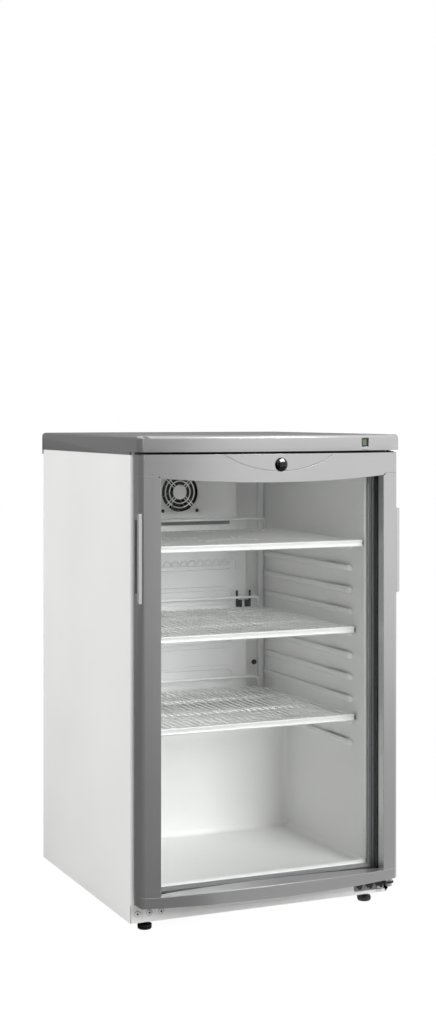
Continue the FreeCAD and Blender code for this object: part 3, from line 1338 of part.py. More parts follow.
# Filter drier and the refrigerant pipes between the machine bay and the cabinet
COIL_LOW = "(coil_top - (coil_runs - 1)*coil_pitch)"
DRIER_TOP = "(drier_low + drier_length)"
drier_profile = [("capillary_radius*2", "drier_low"), ("drier_radius", "drier_low + drier_radius"),
                 ("drier_radius", f"{DRIER_TOP} - drier_radius"), ("capillary_radius*2", DRIER_TOP)]
node(facetted("Drier", 12, drier_profile, "z", ("drier_x", "drier_y", "0")), "filter_drier")
RISE_Z = "(comp_low + comp_height*0.6)"
discharge = pipe("Discharge", "tube_radius",
                 [("comp_x + comp_radius - 1", "comp_y", RISE_Z), ("riser_x", "comp_y", RISE_Z),
                  ("riser_x", "coil_y", RISE_Z), ("riser_x", "coil_y", "coil_top"),
                  ("coil_half", "coil_y", "coil_top")],
                 "line_bend")
liquid = pipe("Liquid", "tube_radius",
              [("-coil_half", "coil_y", COIL_LOW), ("drier_x", "coil_y", COIL_LOW),
               ("drier_x", "coil_y", f"{DRIER_TOP} + 3*line_bend"),
               ("drier_x", "drier_y", f"{DRIER_TOP} + 3*line_bend"), ("drier_x", "drier_y", DRIER_TOP)],
               "line_bend")
capillary = pipe("Capillary", "capillary_radius",
                 [("drier_x", "drier_y", "drier_low"), ("drier_x", "drier_y", "drier_low - 2*line_bend"),
                  ("drier_x + 4*line_bend", "drier_y", "drier_low - 2*line_bend"),
                  ("drier_x + 4*line_bend", RECESS, "drier_low - 2*line_bend")], "line_bend")
suction = pipe("Suction", "tube_radius",
               [("drier_x + 6*line_bend", RECESS, "suction_z"),
                ("drier_x + 6*line_bend", "comp_y", "suction_z"),
                ("drier_x + 6*line_bend", "comp_y", "comp_low + comp_seam_height/2"),
                ("comp_x - comp_radius + 1", "comp_y", "comp_low + comp_seam_height/2")], "line_bend")
lines = [cut("DischargeTrimmed", discharge, comp_room), liquid, capillary,
         cut("SuctionTrimmed", suction, comp_room)]
node(group("Lines", *lines), "refrigerant_lines")

# Mains cable gland on the wall of the machine bay
gland_profile = [("gland_radius", "0"), ("gland_radius", "gland_length*0.3"),
                 ("gland_radius*0.6", "gland_length*0.3"),
                 ("gland_radius*0.45", "gland_length")]
node(facetted("Gland", 12, gland_profile, "y", ("gland_x", RECESS, "gland_z")), "mains_gland")

# Screws that close the spare hinge holes at the lower left
screw_profile = [("screw_radius", "0"), ("screw_radius*0.8", "screw_dome*0.7"),
                 ("screw_radius*0.4", "screw_dome")]
screws = [facetted(f"Screw{i}", 10, screw_profile, "-y", (f"{i}*screw_pitch - screw_first", FRONT, "screw_z"))
          for i in range(3)]
node(group("Screws", *screws), "panel_screws")

# Build everything, see that it is sound, and write one file for each piece
doc.recompute()
faults = [item.Name for item in doc.Objects if {"Invalid", "Error"} & set(item.State)]
faults += [item.Label for item in NODES if item.Shape.isNull() or not item.Shape.isValid()
           or not item.Shape.Solids]
if faults:
    raise RuntimeError("failed objects: " + ", ".join(faults))
os.makedirs("parts", exist_ok=True)
for item in NODES:
    item.Shape.exportStep(f"parts/{item.Label}.step")
print(len(NODES), "pieces written")
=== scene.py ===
# %% [markdown]
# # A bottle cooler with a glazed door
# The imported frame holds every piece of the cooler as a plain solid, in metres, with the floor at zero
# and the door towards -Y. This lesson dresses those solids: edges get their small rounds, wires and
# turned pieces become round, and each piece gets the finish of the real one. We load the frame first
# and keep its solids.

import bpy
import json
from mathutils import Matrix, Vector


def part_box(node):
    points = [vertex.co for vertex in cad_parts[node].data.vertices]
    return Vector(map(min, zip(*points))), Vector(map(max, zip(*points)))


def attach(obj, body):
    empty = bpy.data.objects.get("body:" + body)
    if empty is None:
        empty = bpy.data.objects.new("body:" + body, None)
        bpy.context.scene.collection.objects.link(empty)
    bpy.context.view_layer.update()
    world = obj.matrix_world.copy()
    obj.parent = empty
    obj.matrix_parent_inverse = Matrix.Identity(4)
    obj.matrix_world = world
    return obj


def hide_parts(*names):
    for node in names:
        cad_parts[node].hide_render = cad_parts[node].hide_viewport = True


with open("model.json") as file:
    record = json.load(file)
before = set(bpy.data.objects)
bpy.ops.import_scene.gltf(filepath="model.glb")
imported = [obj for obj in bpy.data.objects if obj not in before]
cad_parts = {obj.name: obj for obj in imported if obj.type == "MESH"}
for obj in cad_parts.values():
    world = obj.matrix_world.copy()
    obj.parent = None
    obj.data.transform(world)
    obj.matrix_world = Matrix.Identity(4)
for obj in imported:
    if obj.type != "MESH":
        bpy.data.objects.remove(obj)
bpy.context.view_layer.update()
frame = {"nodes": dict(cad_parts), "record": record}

# %% [markdown]
# ## Tools and units
# Sizes below are written in millimetres, as on a drawing, and turned into metres by MM. The record says
# which finish each solid has and which body carries it, so we read that once into two tables.

# %% Units and tables
import json
import math

import bmesh
import bpy
from mathutils import Matrix, Vector

MM = 0.001
scene = bpy.context.scene
SLOT_OF = {part["node"]: part["material_slot"] for part in frame["record"]["subparts"]}
BODY_OF = {node: body for body, nodes in frame["record"]["behaviour"]["bodies"].items() for node in nodes}
FINISH = {}


def grey(red, green=None, blue=None):
    """Linear colour from the 0-255 values that a screen shows."""
    shown = (red, red if green is None else green, red if blue is None else blue)
    return tuple((value / 255) ** 2.2 for value in shown)


# %% [markdown]
# ## Surface effects as node groups
# Real surfaces are never perfectly even. Moulded plastic has a fine spark-eroded grain, powder coat dries
# with a soft ripple, and every large panel has faint cloudy changes of gloss from handling. Each effect is
# used by several finishes, so each is a node group. The groups read Object coordinates, which are metres in
# the cooler's own frame, so a grain has the same size on every piece.

# %% Group helper
def effect(name, inputs, outputs):
    """Empty node group with named number inputs and outputs, plus its coordinates."""
    group = bpy.data.node_groups.new(name, "ShaderNodeTree")
    for label, value in inputs.items():
        group.interface.new_socket(label, in_out="INPUT", socket_type="NodeSocketFloat").default_value = value
    for label in outputs:
        group.interface.new_socket(label, in_out="OUTPUT", socket_type="NodeSocketFloat")
    taken = group.nodes.new("NodeGroupInput")
    given = group.nodes.new("NodeGroupOutput")
    place = group.nodes.new("ShaderNodeTexCoord")
    return group, taken.outputs, given.inputs, place.outputs["Object"]


def noise(tree, vector, scale, detail=2.0):
    """Noise texture; the scale is a number or a socket."""
    texture = tree.nodes.new("ShaderNodeTexNoise")
    tree.links.new(vector, texture.inputs["Vector"])
    texture.inputs["Detail"].default_value = detail
    if isinstance(scale, (int, float)):
        texture.inputs["Scale"].default_value = scale
    else:
        tree.links.new(scale, texture.inputs["Scale"])
    return texture.outputs["Fac"]


def spread(tree, value, low, high):
    """Map the middle of a noise to a range; the ends are numbers or sockets."""
    mapped = tree.nodes.new("ShaderNodeMapRange")
    tree.links.new(value, mapped.inputs["Value"])
    mapped.inputs["From Min"].default_value = 0.3
    mapped.inputs["From Max"].default_value = 0.7
    for name, end in (("To Min", low), ("To Max", high)):
        if isinstance(end, (int, float)):
            mapped.inputs[name].default_value = end
        else:
            tree.links.new(end, mapped.inputs[name])
    return mapped.outputs["Result"]


def vary(tree, taken, given, gloss, shade):
    """Let two textures move the gloss and the shade within the group's own ranges."""
    tree.links.new(spread(tree, gloss, taken["Gloss low"], taken["Gloss high"]), given["Roughness"])
    tree.links.new(spread(tree, shade, taken["Shade"], 1.0), given["Shade"])


# %% Moulded grain and handling clouds
group, taken, given, place = effect(
    "Moulded surface", {"Grain": 1500.0, "Gloss low": 0.35, "Gloss high": 0.5, "Shade": 0.95},
    ("Height", "Roughness", "Shade"))
group.links.new(noise(group, place, taken["Grain"]), given["Height"])
clouds = noise(group, place, 9.0, 4.0)
stains = noise(group, place, 5.0, 3.0)
vary(group, taken, given, clouds, stains)
MOULDED = group

# %% Powder-coat ripple
group, taken, given, place = effect(
    "Coat ripple", {"Ripple": 260.0, "Gloss low": 0.3, "Gloss high": 0.42, "Shade": 0.97},
    ("Height", "Roughness", "Shade"))
broad = noise(group, place, taken["Ripple"], 1.0)
fine = noise(group, place, 900.0, 1.0)
both_waves = group.nodes.new("ShaderNodeMath")
both_waves.operation = "MULTIPLY_ADD"
both_waves.inputs[1].default_value = 0.3
group.links.new(fine, both_waves.inputs[0])
group.links.new(broad, both_waves.inputs[2])
group.links.new(both_waves.outputs[0], given["Height"])
clouds = noise(group, place, 7.0, 3.0)
stains = noise(group, place, 4.0, 2.0)
vary(group, taken, given, clouds, stains)
COATED = group

# %% Rolled metal with spangle
group, taken, given, place = effect(
    "Rolled metal", {"Flake": 70.0, "Gloss low": 0.3, "Gloss high": 0.5, "Shade": 0.8},
    ("Height", "Roughness", "Shade"))
flakes = group.nodes.new("ShaderNodeTexVoronoi")
flakes.feature = "F1"
group.links.new(place, flakes.inputs["Vector"])
group.links.new(taken["Flake"], flakes.inputs["Scale"])
tone = group.nodes.new("ShaderNodeSeparateColor")
group.links.new(flakes.outputs["Color"], tone.inputs["Color"])
vary(group, taken, given, tone.outputs["Green"], tone.outputs["Red"])
group.links.new(noise(group, place, 700.0, 3.0), given["Height"])
ROLLED = group
print("effects:", [group.name for group in bpy.data.node_groups])

# %% [markdown]
# ## Finishes
# A finish is one Principled shader with an effect group in front of it: the group varies the colour,
# the gloss and the surface height, and the shader's own sockets hold what is the same all over.

# %% Finish helper
def finish(slot, colour, surface, gloss, bump, metallic=0.0, **values):
    """Material for one slot: colour, effect group, range of roughness, bump in mm, other group values."""
    material = bpy.data.materials.new(slot)
    material.use_nodes = True
    tree = material.node_tree
    shader = tree.nodes["Principled BSDF"]
    shader.inputs["Metallic"].default_value = metallic
    effect_node = tree.nodes.new("ShaderNodeGroup")
    effect_node.node_tree = surface
    for name, value in {"Gloss low": gloss[0], "Gloss high": gloss[1], **values}.items():
        effect_node.inputs[name].default_value = value
    shade = tree.nodes.new("ShaderNodeMix")
    shade.data_type = "RGBA"
    shade.blend_type = "MULTIPLY"
    shade.inputs[0].default_value = 1.0
    shade.inputs[6].default_value = (*colour, 1.0)
    tree.links.new(effect_node.outputs["Shade"], shade.inputs[7])
    tree.links.new(shade.outputs[2], shader.inputs["Base Color"])
    tree.links.new(effect_node.outputs["Roughness"], shader.inputs["Roughness"])
    relief = tree.nodes.new("ShaderNodeBump")
    relief.inputs["Strength"].default_value = 0.5
    relief.inputs["Distance"].default_value = bump * MM
    tree.links.new(effect_node.outputs["Height"], relief.inputs["Height"])
    tree.links.new(relief.outputs["Normal"], shader.inputs["Normal"])
    FINISH[slot] = material


# %% White coat, silver mouldings and the white cabin
finish("white_paint", grey(238, 238, 237), COATED, (0.32, 0.42), 0.03)
finish("silver_plastic", grey(185), MOULDED, (0.28, 0.32), 0.004, metallic=0.75, Grain=1800.0, Shade=0.98)
finish("light_plastic", grey(196), MOULDED, (0.35, 0.45), 0.02, metallic=0.5)
finish("liner_plastic", grey(234, 234, 233), MOULDED, (0.36, 0.4), 0.02, Grain=600.0, Shade=0.99)
finish("inner_frame", grey(150, 151, 153), MOULDED, (0.4, 0.5), 0.02)
finish("foam", grey(222, 206, 160), MOULDED, (0.8, 0.95), 0.5, Grain=300.0, Shade=0.85)

# %% Wires, trims and metals
finish("shelf_wire", grey(242, 242, 241), COATED, (0.22, 0.3), 0.02, Ripple=500.0)
finish("shelf_trim", grey(214, 214, 213), MOULDED, (0.2, 0.28), 0.01, Grain=900.0, Shade=0.98)
finish("evaporator", grey(226), ROLLED, (0.42, 0.5), 0.03, metallic=0.3, Flake=25.0, Shade=0.97)
finish("zinc_sheet", grey(188, 191, 193), ROLLED, (0.3, 0.5), 0.02, metallic=0.85, Flake=75.0, Shade=0.86)
finish("bright_steel", grey(196), ROLLED, (0.24, 0.34), 0.01, metallic=1.0, Flake=300.0, Shade=0.93)
finish("lock_chrome", grey(12), COATED, (0.05, 0.09), 0.002, Ripple=200.0)
finish("copper", grey(201, 138, 106), ROLLED, (0.28, 0.42), 0.01, metallic=1.0, Flake=120.0, Shade=0.82)
finish("spacer", grey(50, 50, 52), ROLLED, (0.35, 0.45), 0.01, Flake=200.0)

# %% Black pieces and rubber
finish("black_plastic", grey(30, 30, 31), MOULDED, (0.38, 0.52), 0.04, Grain=1200.0, Shade=0.85)
finish("black_steel", grey(28, 28, 30), COATED, (0.3, 0.42), 0.03)
finish("compressor_paint", grey(24, 24, 25), COATED, (0.2, 0.32), 0.05, Ripple=150.0)
finish("gasket_rubber", grey(134, 134, 135), MOULDED, (0.55, 0.7), 0.03, Grain=900.0, Shade=0.9)
finish("mount_rubber", grey(38), MOULDED, (0.65, 0.8), 0.05, Grain=700.0, Shade=0.85)
print(len(FINISH), "opaque finishes")

# %% [markdown]
# ## Glass and the small display
# Float glass is clear, so its shader has full transmission and no roughness. Lamps and bounced light should
# shine through it into the cabin: for shadow and diffuse rays alone the shader is swapped for a transparent
# one. The display is a grey-green window with a faint glow.

# %% Glass
def glass(slot, tint):
    """Clear material that lets lamp light and bounced light pass."""
    material = bpy.data.materials.new(slot)
    material.use_nodes = True
    tree = material.node_tree
    shader = tree.nodes["Principled BSDF"]
    shader.inputs["Base Color"].default_value = (*tint, 1.0)
    shader.inputs["Roughness"].default_value = 0.0
    shader.inputs["IOR"].default_value = 1.12
    shader.inputs["Transmission Weight"].default_value = 1.0
    clear = tree.nodes.new("ShaderNodeBsdfTransparent")
    clear.inputs["Color"].default_value = (*tint, 1.0)
    ray = tree.nodes.new("ShaderNodeLightPath")
    light = tree.nodes.new("ShaderNodeMath")
    light.operation = "MAXIMUM"
    tree.links.new(ray.outputs["Is Shadow Ray"], light.inputs[0])
    tree.links.new(ray.outputs["Is Diffuse Ray"], light.inputs[1])
    swap = tree.nodes.new("ShaderNodeMixShader")
    tree.links.new(light.outputs[0], swap.inputs[0])
    tree.links.new(shader.outputs[0], swap.inputs[1])
    tree.links.new(clear.outputs[0], swap.inputs[2])
    tree.links.new(swap.outputs[0], tree.nodes["Material Output"].inputs["Surface"])
    FINISH[slot] = material


glass("glass", (0.99, 0.993, 0.992))

# %% Display
finish("display", grey(96, 106, 90), MOULDED, (0.1, 0.16), 0.002, Grain=2500.0, Shade=0.9)
shader = FINISH["display"].node_tree.nodes["Principled BSDF"]
shader.inputs["Specular IOR Level"].default_value = 0.2
shader.inputs["Emission Color"].default_value = (*grey(120, 190, 90), 1.0)
shader.inputs["Emission Strength"].default_value = 0.02
print(sorted(FINISH))

# %% [markdown]
# ## Storing a piece
# Every piece is finished in the same way: doubles are merged, normals are turned outwards, the mesh is shaded
# smooth with its real edges kept sharp, and the object gets its finish and rides on the body that carries it.
# Three short helpers pick vertices or edges from an operator's result and round chosen edges.

# %% Piece helper
def store(name, bm, body, slot, *nodes, sharp=40.0, closed=True):
    """Make an object of a bmesh, in place, that rides on a body and stands for CAD solids."""
    if closed:
        bmesh.ops.remove_doubles(bm, verts=bm.verts, dist=0.002 * MM)
        bmesh.ops.recalc_face_normals(bm, faces=bm.faces)
    mesh = bpy.data.meshes.new(name)
    bm.to_mesh(mesh)
    bm.free()
    mesh.shade_smooth()
    mesh.set_sharp_from_angle(angle=math.radians(sharp))
    mesh.materials.append(FINISH[slot])
    piece = bpy.data.objects.new(name, mesh)
    scene.collection.objects.link(piece)
    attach(piece, body)
    if nodes:
        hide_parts(*nodes)
    return piece


def verts_of(geometry):
    """Vertices in the result of an operator."""
    return [item for item in geometry if isinstance(item, bmesh.types.BMVert)]


def edges_of(geometry):
    """Edges in the result of an operator."""
    return [item for item in geometry if isinstance(item, bmesh.types.BMEdge)]


def round_edges(bm, edges, width, segments, clamp=True):
    """Round chosen edges by a width in millimetres."""
    bmesh.ops.bevel(bm, geom=edges, offset=width * MM, offset_type="OFFSET", segments=segments, profile=0.5,
                    affect="EDGES", material=-1, clamp_overlap=clamp)


# %% [markdown]
# ## Sheets and mouldings
# Folded sheets, rails, stiles and housings already have their true outline in the solid. What they lack is
# the small round that every real edge has and that catches the light. We merge a copy of each solid, clear
# the triangulation of its flat faces and let a Bevel modifier round the edges by a width that suits each.

# %% Rounded copies
FOLD = 7
EDGE = {
    "left_side_panel": 0.45, "right_side_panel": 0.45, "base_plate": 0.5, "rear_panel": 0.4,
    "kick_plate": 0.6, "display_bezel": 0.5, "display_window": 0.4, "controller_box": 1.5, "fan_frame": 0.5,
    "evaporator_plate": 0.7, "evaporator_clips": 0.5, "door_top_rail": 0.5, "door_bottom_rail": 0.6,
    "door_left_stile": 0.5, "door_right_stile": 0.5, "lock_panel": 0.3, "left_handle": 0.5,
    "right_handle": 0.5, "outer_glass": 0.5, "inner_glass": 0.5, "glass_spacer": 0.4,
    "door_inner_frame": 0.6, "door_gasket": 1.2, "lower_hinge_bracket": 0.5, "upper_hinge_bracket": 0.5,
    "lock_cam": 0.4, "lock_strike": 0.4, "compressor_terminal_cover": 2.0, "drip_tray": 0.6,
    "condenser_brackets": 1.0,
}


def at_front_fold(edge):
    """Upright edge where a side panel folds round to the front."""
    first, second = (vert.co for vert in edge.verts)
    upright = abs(first.z - second.z) > 500 * MM
    outermost = min(abs(first.x), abs(second.x)) > 246 * MM
    return upright and outermost and max(first.y, second.y) < -200 * MM


def smooth_copy(node, width, sharp=35.0):
    """Merged copy of a solid with its sharp edges rounded by a width in millimetres."""
    bm = bmesh.new()
    bm.from_mesh(frame["nodes"][node].data)
    bmesh.ops.remove_doubles(bm, verts=bm.verts, dist=0.005 * MM)
    bmesh.ops.dissolve_limit(bm, angle_limit=math.radians(0.5), verts=bm.verts, edges=bm.edges)
    if node.endswith("side_panel"):
        round_edges(bm, [edge for edge in bm.edges if at_front_fold(edge)], FOLD, 8, clamp=False)
    piece = store(node + "_rounded", bm, BODY_OF[node], SLOT_OF[node], node, sharp=sharp, closed=False)
    soft = piece.modifiers.new("Soft edges", "BEVEL")
    soft.width = width * MM
    soft.segments = 2
    soft.limit_method = "ANGLE"
    soft.angle_limit = math.radians(sharp)
    soft.use_clamp_overlap = False
    piece.modifiers.new("Flat faces", "WEIGHTED_NORMAL").keep_sharp = True


for node, width in EDGE.items():
    smooth_copy(node, width)
print(len(EDGE), "rounded copies")

# %% [markdown]
# ## Round stock
# Wires, pins, pipes and turned pieces are flat-sided in the solids. Four small helpers make them round: a rod
# between two points, a turned piece from a profile, a box, and a wire whose end ring is extruded along each
# straight run and spun round each bend, which is how a wire bender works.

# %% Rods, boxes and turned pieces
UP, INWARD = (0, 0, 1), (0, 1, 0)


def add_rod(bm, start, end, radius, segments=16):
    """Round bar between two points."""
    start, end = Vector(start), Vector(end)
    along = end - start
    place = Matrix.Translation((start + end) / 2) @ along.to_track_quat("Z", "Y").to_matrix().to_4x4()
    bmesh.ops.create_cone(bm, cap_ends=True, segments=segments, radius1=radius, radius2=radius,
                          depth=along.length, matrix=place)


def add_box(bm, low, high):
    """Box between two corners."""
    low, high = Vector(low), Vector(high)
    place = Matrix.Translation((low + high) / 2) @ Matrix.Diagonal((*(high - low), 1.0))
    return bmesh.ops.create_cube(bm, size=1.0, matrix=place)["verts"]


def add_turned(bm, profile, centre, axis, steps=48):
    """Spin a profile of (radius, distance along the axis) corners in millimetres into a full turn."""
    place = Matrix.Translation(centre) @ Vector(axis).to_track_quat("Z", "Y").to_matrix().to_4x4()
    verts = [bm.verts.new(place @ Vector((radius * MM, 0.0, level * MM))) for radius, level in profile]
    edges = [bm.edges.new(pair) for pair in zip(verts, verts[1:])]
    bmesh.ops.spin(bm, geom=verts + edges, cent=centre, axis=axis, dvec=(0, 0, 0),
                   angle=2 * math.pi, steps=steps, use_merge=True, use_duplicate=False)


# %% Bent wires and pipes
def add_bent(bm, points, radius, bend, segments=12, steps=6):
    """Round wire through corner points, with a bend of one radius at each corner."""
    points = [Vector(point) for point in points]
    along = (points[1] - points[0]).normalized()
    place = Matrix.Translation(points[0]) @ along.to_track_quat("Z", "Y").to_matrix().to_4x4()
    verts = bmesh.ops.create_circle(bm, cap_ends=False, segments=segments, radius=radius,
                                    matrix=place)["verts"]
    rim = list({edge for vert in verts for edge in vert.link_edges})
    first, here = list(rim), points[0]
    for index, corner in enumerate(points[1:], start=1):
        last = index == len(points) - 1
        into = (corner - points[index - 1]).normalized()
        out = into if last else (points[index + 1] - corner).normalized()
        turn = into.angle(out)
        stop = corner - into * (bend * math.tan(turn / 2))
        grown = bmesh.ops.extrude_edge_only(bm, edges=rim)["geom"]
        verts = verts_of(grown)
        bmesh.ops.translate(bm, verts=verts, vec=stop - here)
        rim = [edge for edge in edges_of(grown) if all(vert in set(verts) for vert in edge.verts)]
        here = stop
        if last:
            break
        inward = (out - into * out.dot(into)).normalized()
        swung = bmesh.ops.spin(bm, geom=verts + rim, cent=stop + inward * bend, axis=into.cross(out),
                               dvec=(0, 0, 0), angle=turn, steps=steps, use_duplicate=False)["geom_last"]
        rim = edges_of(swung)
        here = corner + out * (bend * math.tan(turn / 2))
    for loop in (first, rim):
        bmesh.ops.edgeloop_fill(bm, edges=loop)


# %% [markdown]
# ## The cabin
# The liner is drawn from one warm sheet, so all its corners have large soft rounds. Its side view, with the
# step over the compressor, is extruded across the cabin, the open front is taken out and the corners are
# bevelled. The front rim is then rolled outwards into a lip and a flat flange, one ring of edges at a time;
# along the floor it first rises a little, so that spilt water stays inside.

# %% Cabin walls
HALF, FLOOR, CEILING, FRONT, BACK = 200, 71, 772, -202, 225
STEP_FRONT, STEP_TOP, CORNER = 114, 295, 12
MOUTH, LIP, LIP_RISE = FRONT + 36, 8, 6
FLANGE_X, FLANGE_TOP, FLANGE_LOW, FLANGE_CORNER = 223, 805, 53, 3


def add_prism(bm, outline, along):
    """Flat outline of points in millimetres, extruded along a direction."""
    face = bm.faces.new([bm.verts.new(Vector(point) * MM) for point in outline])
    grown = bmesh.ops.extrude_face_region(bm, geom=[face])["geom"]
    moved = verts_of(grown)
    bmesh.ops.translate(bm, verts=moved, vec=Vector(along) * MM)
    return list(face.verts) + moved


bm = bmesh.new()
side_view = [(MOUTH, FLOOR), (STEP_FRONT, FLOOR), (STEP_FRONT, STEP_TOP), (BACK, STEP_TOP), (BACK, CEILING),
             (MOUTH, CEILING)]
add_prism(bm, [(-HALF, y, z) for y, z in side_view], (2 * HALF, 0, 0))
opening = [face for face in bm.faces if all(abs(vert.co.y - MOUTH * MM) < 1e-6 for vert in face.verts)]
bmesh.ops.delete(bm, geom=opening, context="FACES_ONLY")
round_edges(bm, [edge for edge in bm.edges if len(edge.link_faces) == 2], CORNER, 6)
rim = [edge for edge in bm.edges if edge.is_boundary]
rise = [(30, 0.4), (24, 1.8), (18, 4.0), (13, 5.4), (LIP, LIP_RISE)]
rings = [(0, FRONT + back, lift) for back, lift in rise]
for turn in range(1, 7):
    angle = math.radians(15 * turn)
    rings.append((LIP * (1 - math.cos(angle)), FRONT + LIP - LIP * math.sin(angle), LIP_RISE))
for reach, y, lift in rings + [(None, FRONT, 0), (None, FRONT + 2, 0)]:
    grown = bmesh.ops.extrude_edge_only(bm, edges=rim)["geom"]
    rim = [edge for edge in edges_of(grown) if edge.is_boundary]
    for vert in verts_of(grown):
        side, upper = math.copysign(1, vert.co.x), vert.co.z > 400 * MM
        middle = Vector((side * (HALF - CORNER), 0, CEILING - CORNER if upper else FLOOR + CORNER)) * MM
        away = Vector((vert.co.x - middle.x, 0, vert.co.z - middle.z)).normalized()
        if reach is None:
            middle = Vector((side * FLANGE_X, 0, FLANGE_TOP if upper else FLANGE_LOW)) * MM
            wide = tall = FLANGE_CORNER
        else:
            wide, tall = CORNER + 0.15 * reach, CORNER + reach
        vert.co = Vector((middle.x + away.x * wide * MM, y * MM, middle.z + away.z * tall * MM))
        if not upper and away.z < -0.5:
            vert.co.z += lift * MM
liner = store("cabin_walls", bm, "cabinet", "liner_plastic", "inner_liner")
wall = liner.modifiers.new("Sheet", "SOLIDIFY")
wall.thickness = 2 * MM
wall.offset = 1.0
frame["nodes"]["foam_insulation"].data.materials.clear()
frame["nodes"]["foam_insulation"].data.materials.append(FINISH["foam"])

# %% Corner covers
COVER = [(184.5, 226), (184.5, 214), (186.5, 212), (194, 212), (196, 214), (196, 226)]
bm = bmesh.new()
for side in (-1, 1):
    add_prism(bm, [(side * x, y, STEP_TOP - 1) for x, y in COVER], (0, 0, CEILING - STEP_TOP))
store("corner_covers", bm, "cabinet", "liner_plastic")

# %% Shelf ribs
RIB_TOP, RIB_PITCH, RIB_RANKS, RIB_BACK, NOSE = 642.3, 39.5, 10, 205, 10
RIB = [(-0.12, 0), (0.7, 0), (0.88, 0.5), (0.97, 1.6), (1.0, 3.2), (1.0, 6.4), (0.95, 8.6), (0.8, 10.6),
       (0.52, 12), (0.2, 12.8), (-0.12, 13)]


def add_rib(bm, side, top, reach, start, end):
    """Rib on a side wall with a round nose at its front end."""
    outline = [(side * (HALF - reach * out), start + NOSE, top - drop) for out, drop in RIB]
    rib = add_prism(bm, outline, (0, end - start - NOSE, 0))
    front = rib[0].co.y
    nose = next(face for face in rib[0].link_faces
                if all(abs(vert.co.y - front) < 1e-6 for vert in face.verts))
    root, size = Vector((side * HALF, 0, top - 6)) * MM, 1.0
    for turn in (25, 48, 67, 80):
        grown = bmesh.ops.extrude_face_region(bm, geom=[nose])["geom"]
        nose = next(item for item in grown if isinstance(item, bmesh.types.BMFace))
        shrink = math.cos(math.radians(turn)) / size
        size *= shrink
        for vert in nose.verts:
            vert.co = root + (vert.co - root) * shrink
            vert.co.y = (start + NOSE - NOSE * math.sin(math.radians(turn))) * MM


bm = bmesh.new()
for rank in range(RIB_RANKS):
    for side in (-1, 1):
        top = RIB_TOP - RIB_PITCH * rank
        add_rib(bm, side, top, 7.5, -150, RIB_BACK if rank < RIB_RANKS - 1 else STEP_FRONT)
        add_rib(bm, side, top, 9.5, -160, -62)
ribs = store("shelf_ribs", bm, "cabinet", "liner_plastic", sharp=60)
ribs.modifiers.new("Flat faces", "WEIGHTED_NORMAL").keep_sharp = True
print("cabin", 2 * HALF, "mm wide with", 2 * RIB_RANKS, "ribs")

# %% [markdown]
# ## Wire shelves
# Each shelf is a row of thin wires welded across thicker ones and dipped in white. The two thickest rest on
# the ribs of the liner and a third one ties the rear ends. The thin wires end in the front trim, a channel
# with a bead along each edge, and a raised wire at the back keeps bottles off the cold plate.

# %% Shelf grids and back stops
WIRES, WIRE, MARGIN, CROSS, REAR, STOP, STOP_BEND = 31, 1.5, 7, 3.0, 2.2, 2.5, 8
grids = []
for number in (1, 2, 3):
    low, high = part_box(f"shelf_{number}_grid")
    bm = bmesh.new()
    first, last = low.x + MARGIN * MM, high.x - MARGIN * MM
    level = high.z - 1.55 * MM
    for index in range(WIRES):
        x = first + (last - first) * index / (WIRES - 1)
        add_rod(bm, (x, low.y, level), (x, high.y, level), WIRE * MM, 12)
    for y, thick in ((low.y + 150.4 * MM, CROSS), (high.y - 94 * MM, CROSS), (high.y - 12 * MM, REAR)):
        level = low.z + thick * MM
        add_rod(bm, (low.x, y, level), (high.x, y, level), thick * MM, 16)
    grids.append(store(f"shelf_{number}_wires", bm, f"shelf_{number}", "shelf_wire", f"shelf_{number}_grid"))
    low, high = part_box(f"shelf_{number}_back_stop")
    middle, top, foot = (low.y + high.y) / 2, high.z - STOP * MM, low.z - 0.6 * MM
    left, right = low.x + STOP * MM, high.x - STOP * MM
    route = [(left, middle, foot), (left, middle, top), (right, middle, top), (right, middle, foot)]
    bm = bmesh.new()
    add_bent(bm, route, STOP * MM, STOP_BEND * MM, segments=14)
    store(f"shelf_{number}_stop_wire", bm, f"shelf_{number}", "shelf_wire", f"shelf_{number}_back_stop")
print("shelves of", WIRES, "wires")

# %% Beaded front trims
BEAD = [(2.2, 0), (1.0, 0.3), (0.3, 1.0), (0, 1.8), (0.1, 2.6), (0.5, 3.2), (0.8, 3.7)]
for number in (1, 2, 3):
    low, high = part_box(f"shelf_{number}_front_trim")
    length, deep, tall = (high - low) / MM
    face = BEAD + [(y, tall - z) for y, z in reversed(BEAD)]
    cheek = [(deep, 0), *face, (deep, tall)]
    channel = [*cheek, (deep, tall - 1.5), (2.6, tall - 1.5), (2.6, 1.5), (deep, 1.5)]
    corner = Vector(low) / MM
    bm = bmesh.new()
    for outline, start, run in ((channel, 0, length), (cheek, 0, 2), (cheek, length - 2, 2)):
        add_prism(bm, [(corner.x + start, corner.y + y, corner.z + z) for y, z in outline], (run, 0, 0))
    store(f"shelf_{number}_trim", bm, f"shelf_{number}", "shelf_trim", f"shelf_{number}_front_trim", sharp=50)
print("3 front trims")
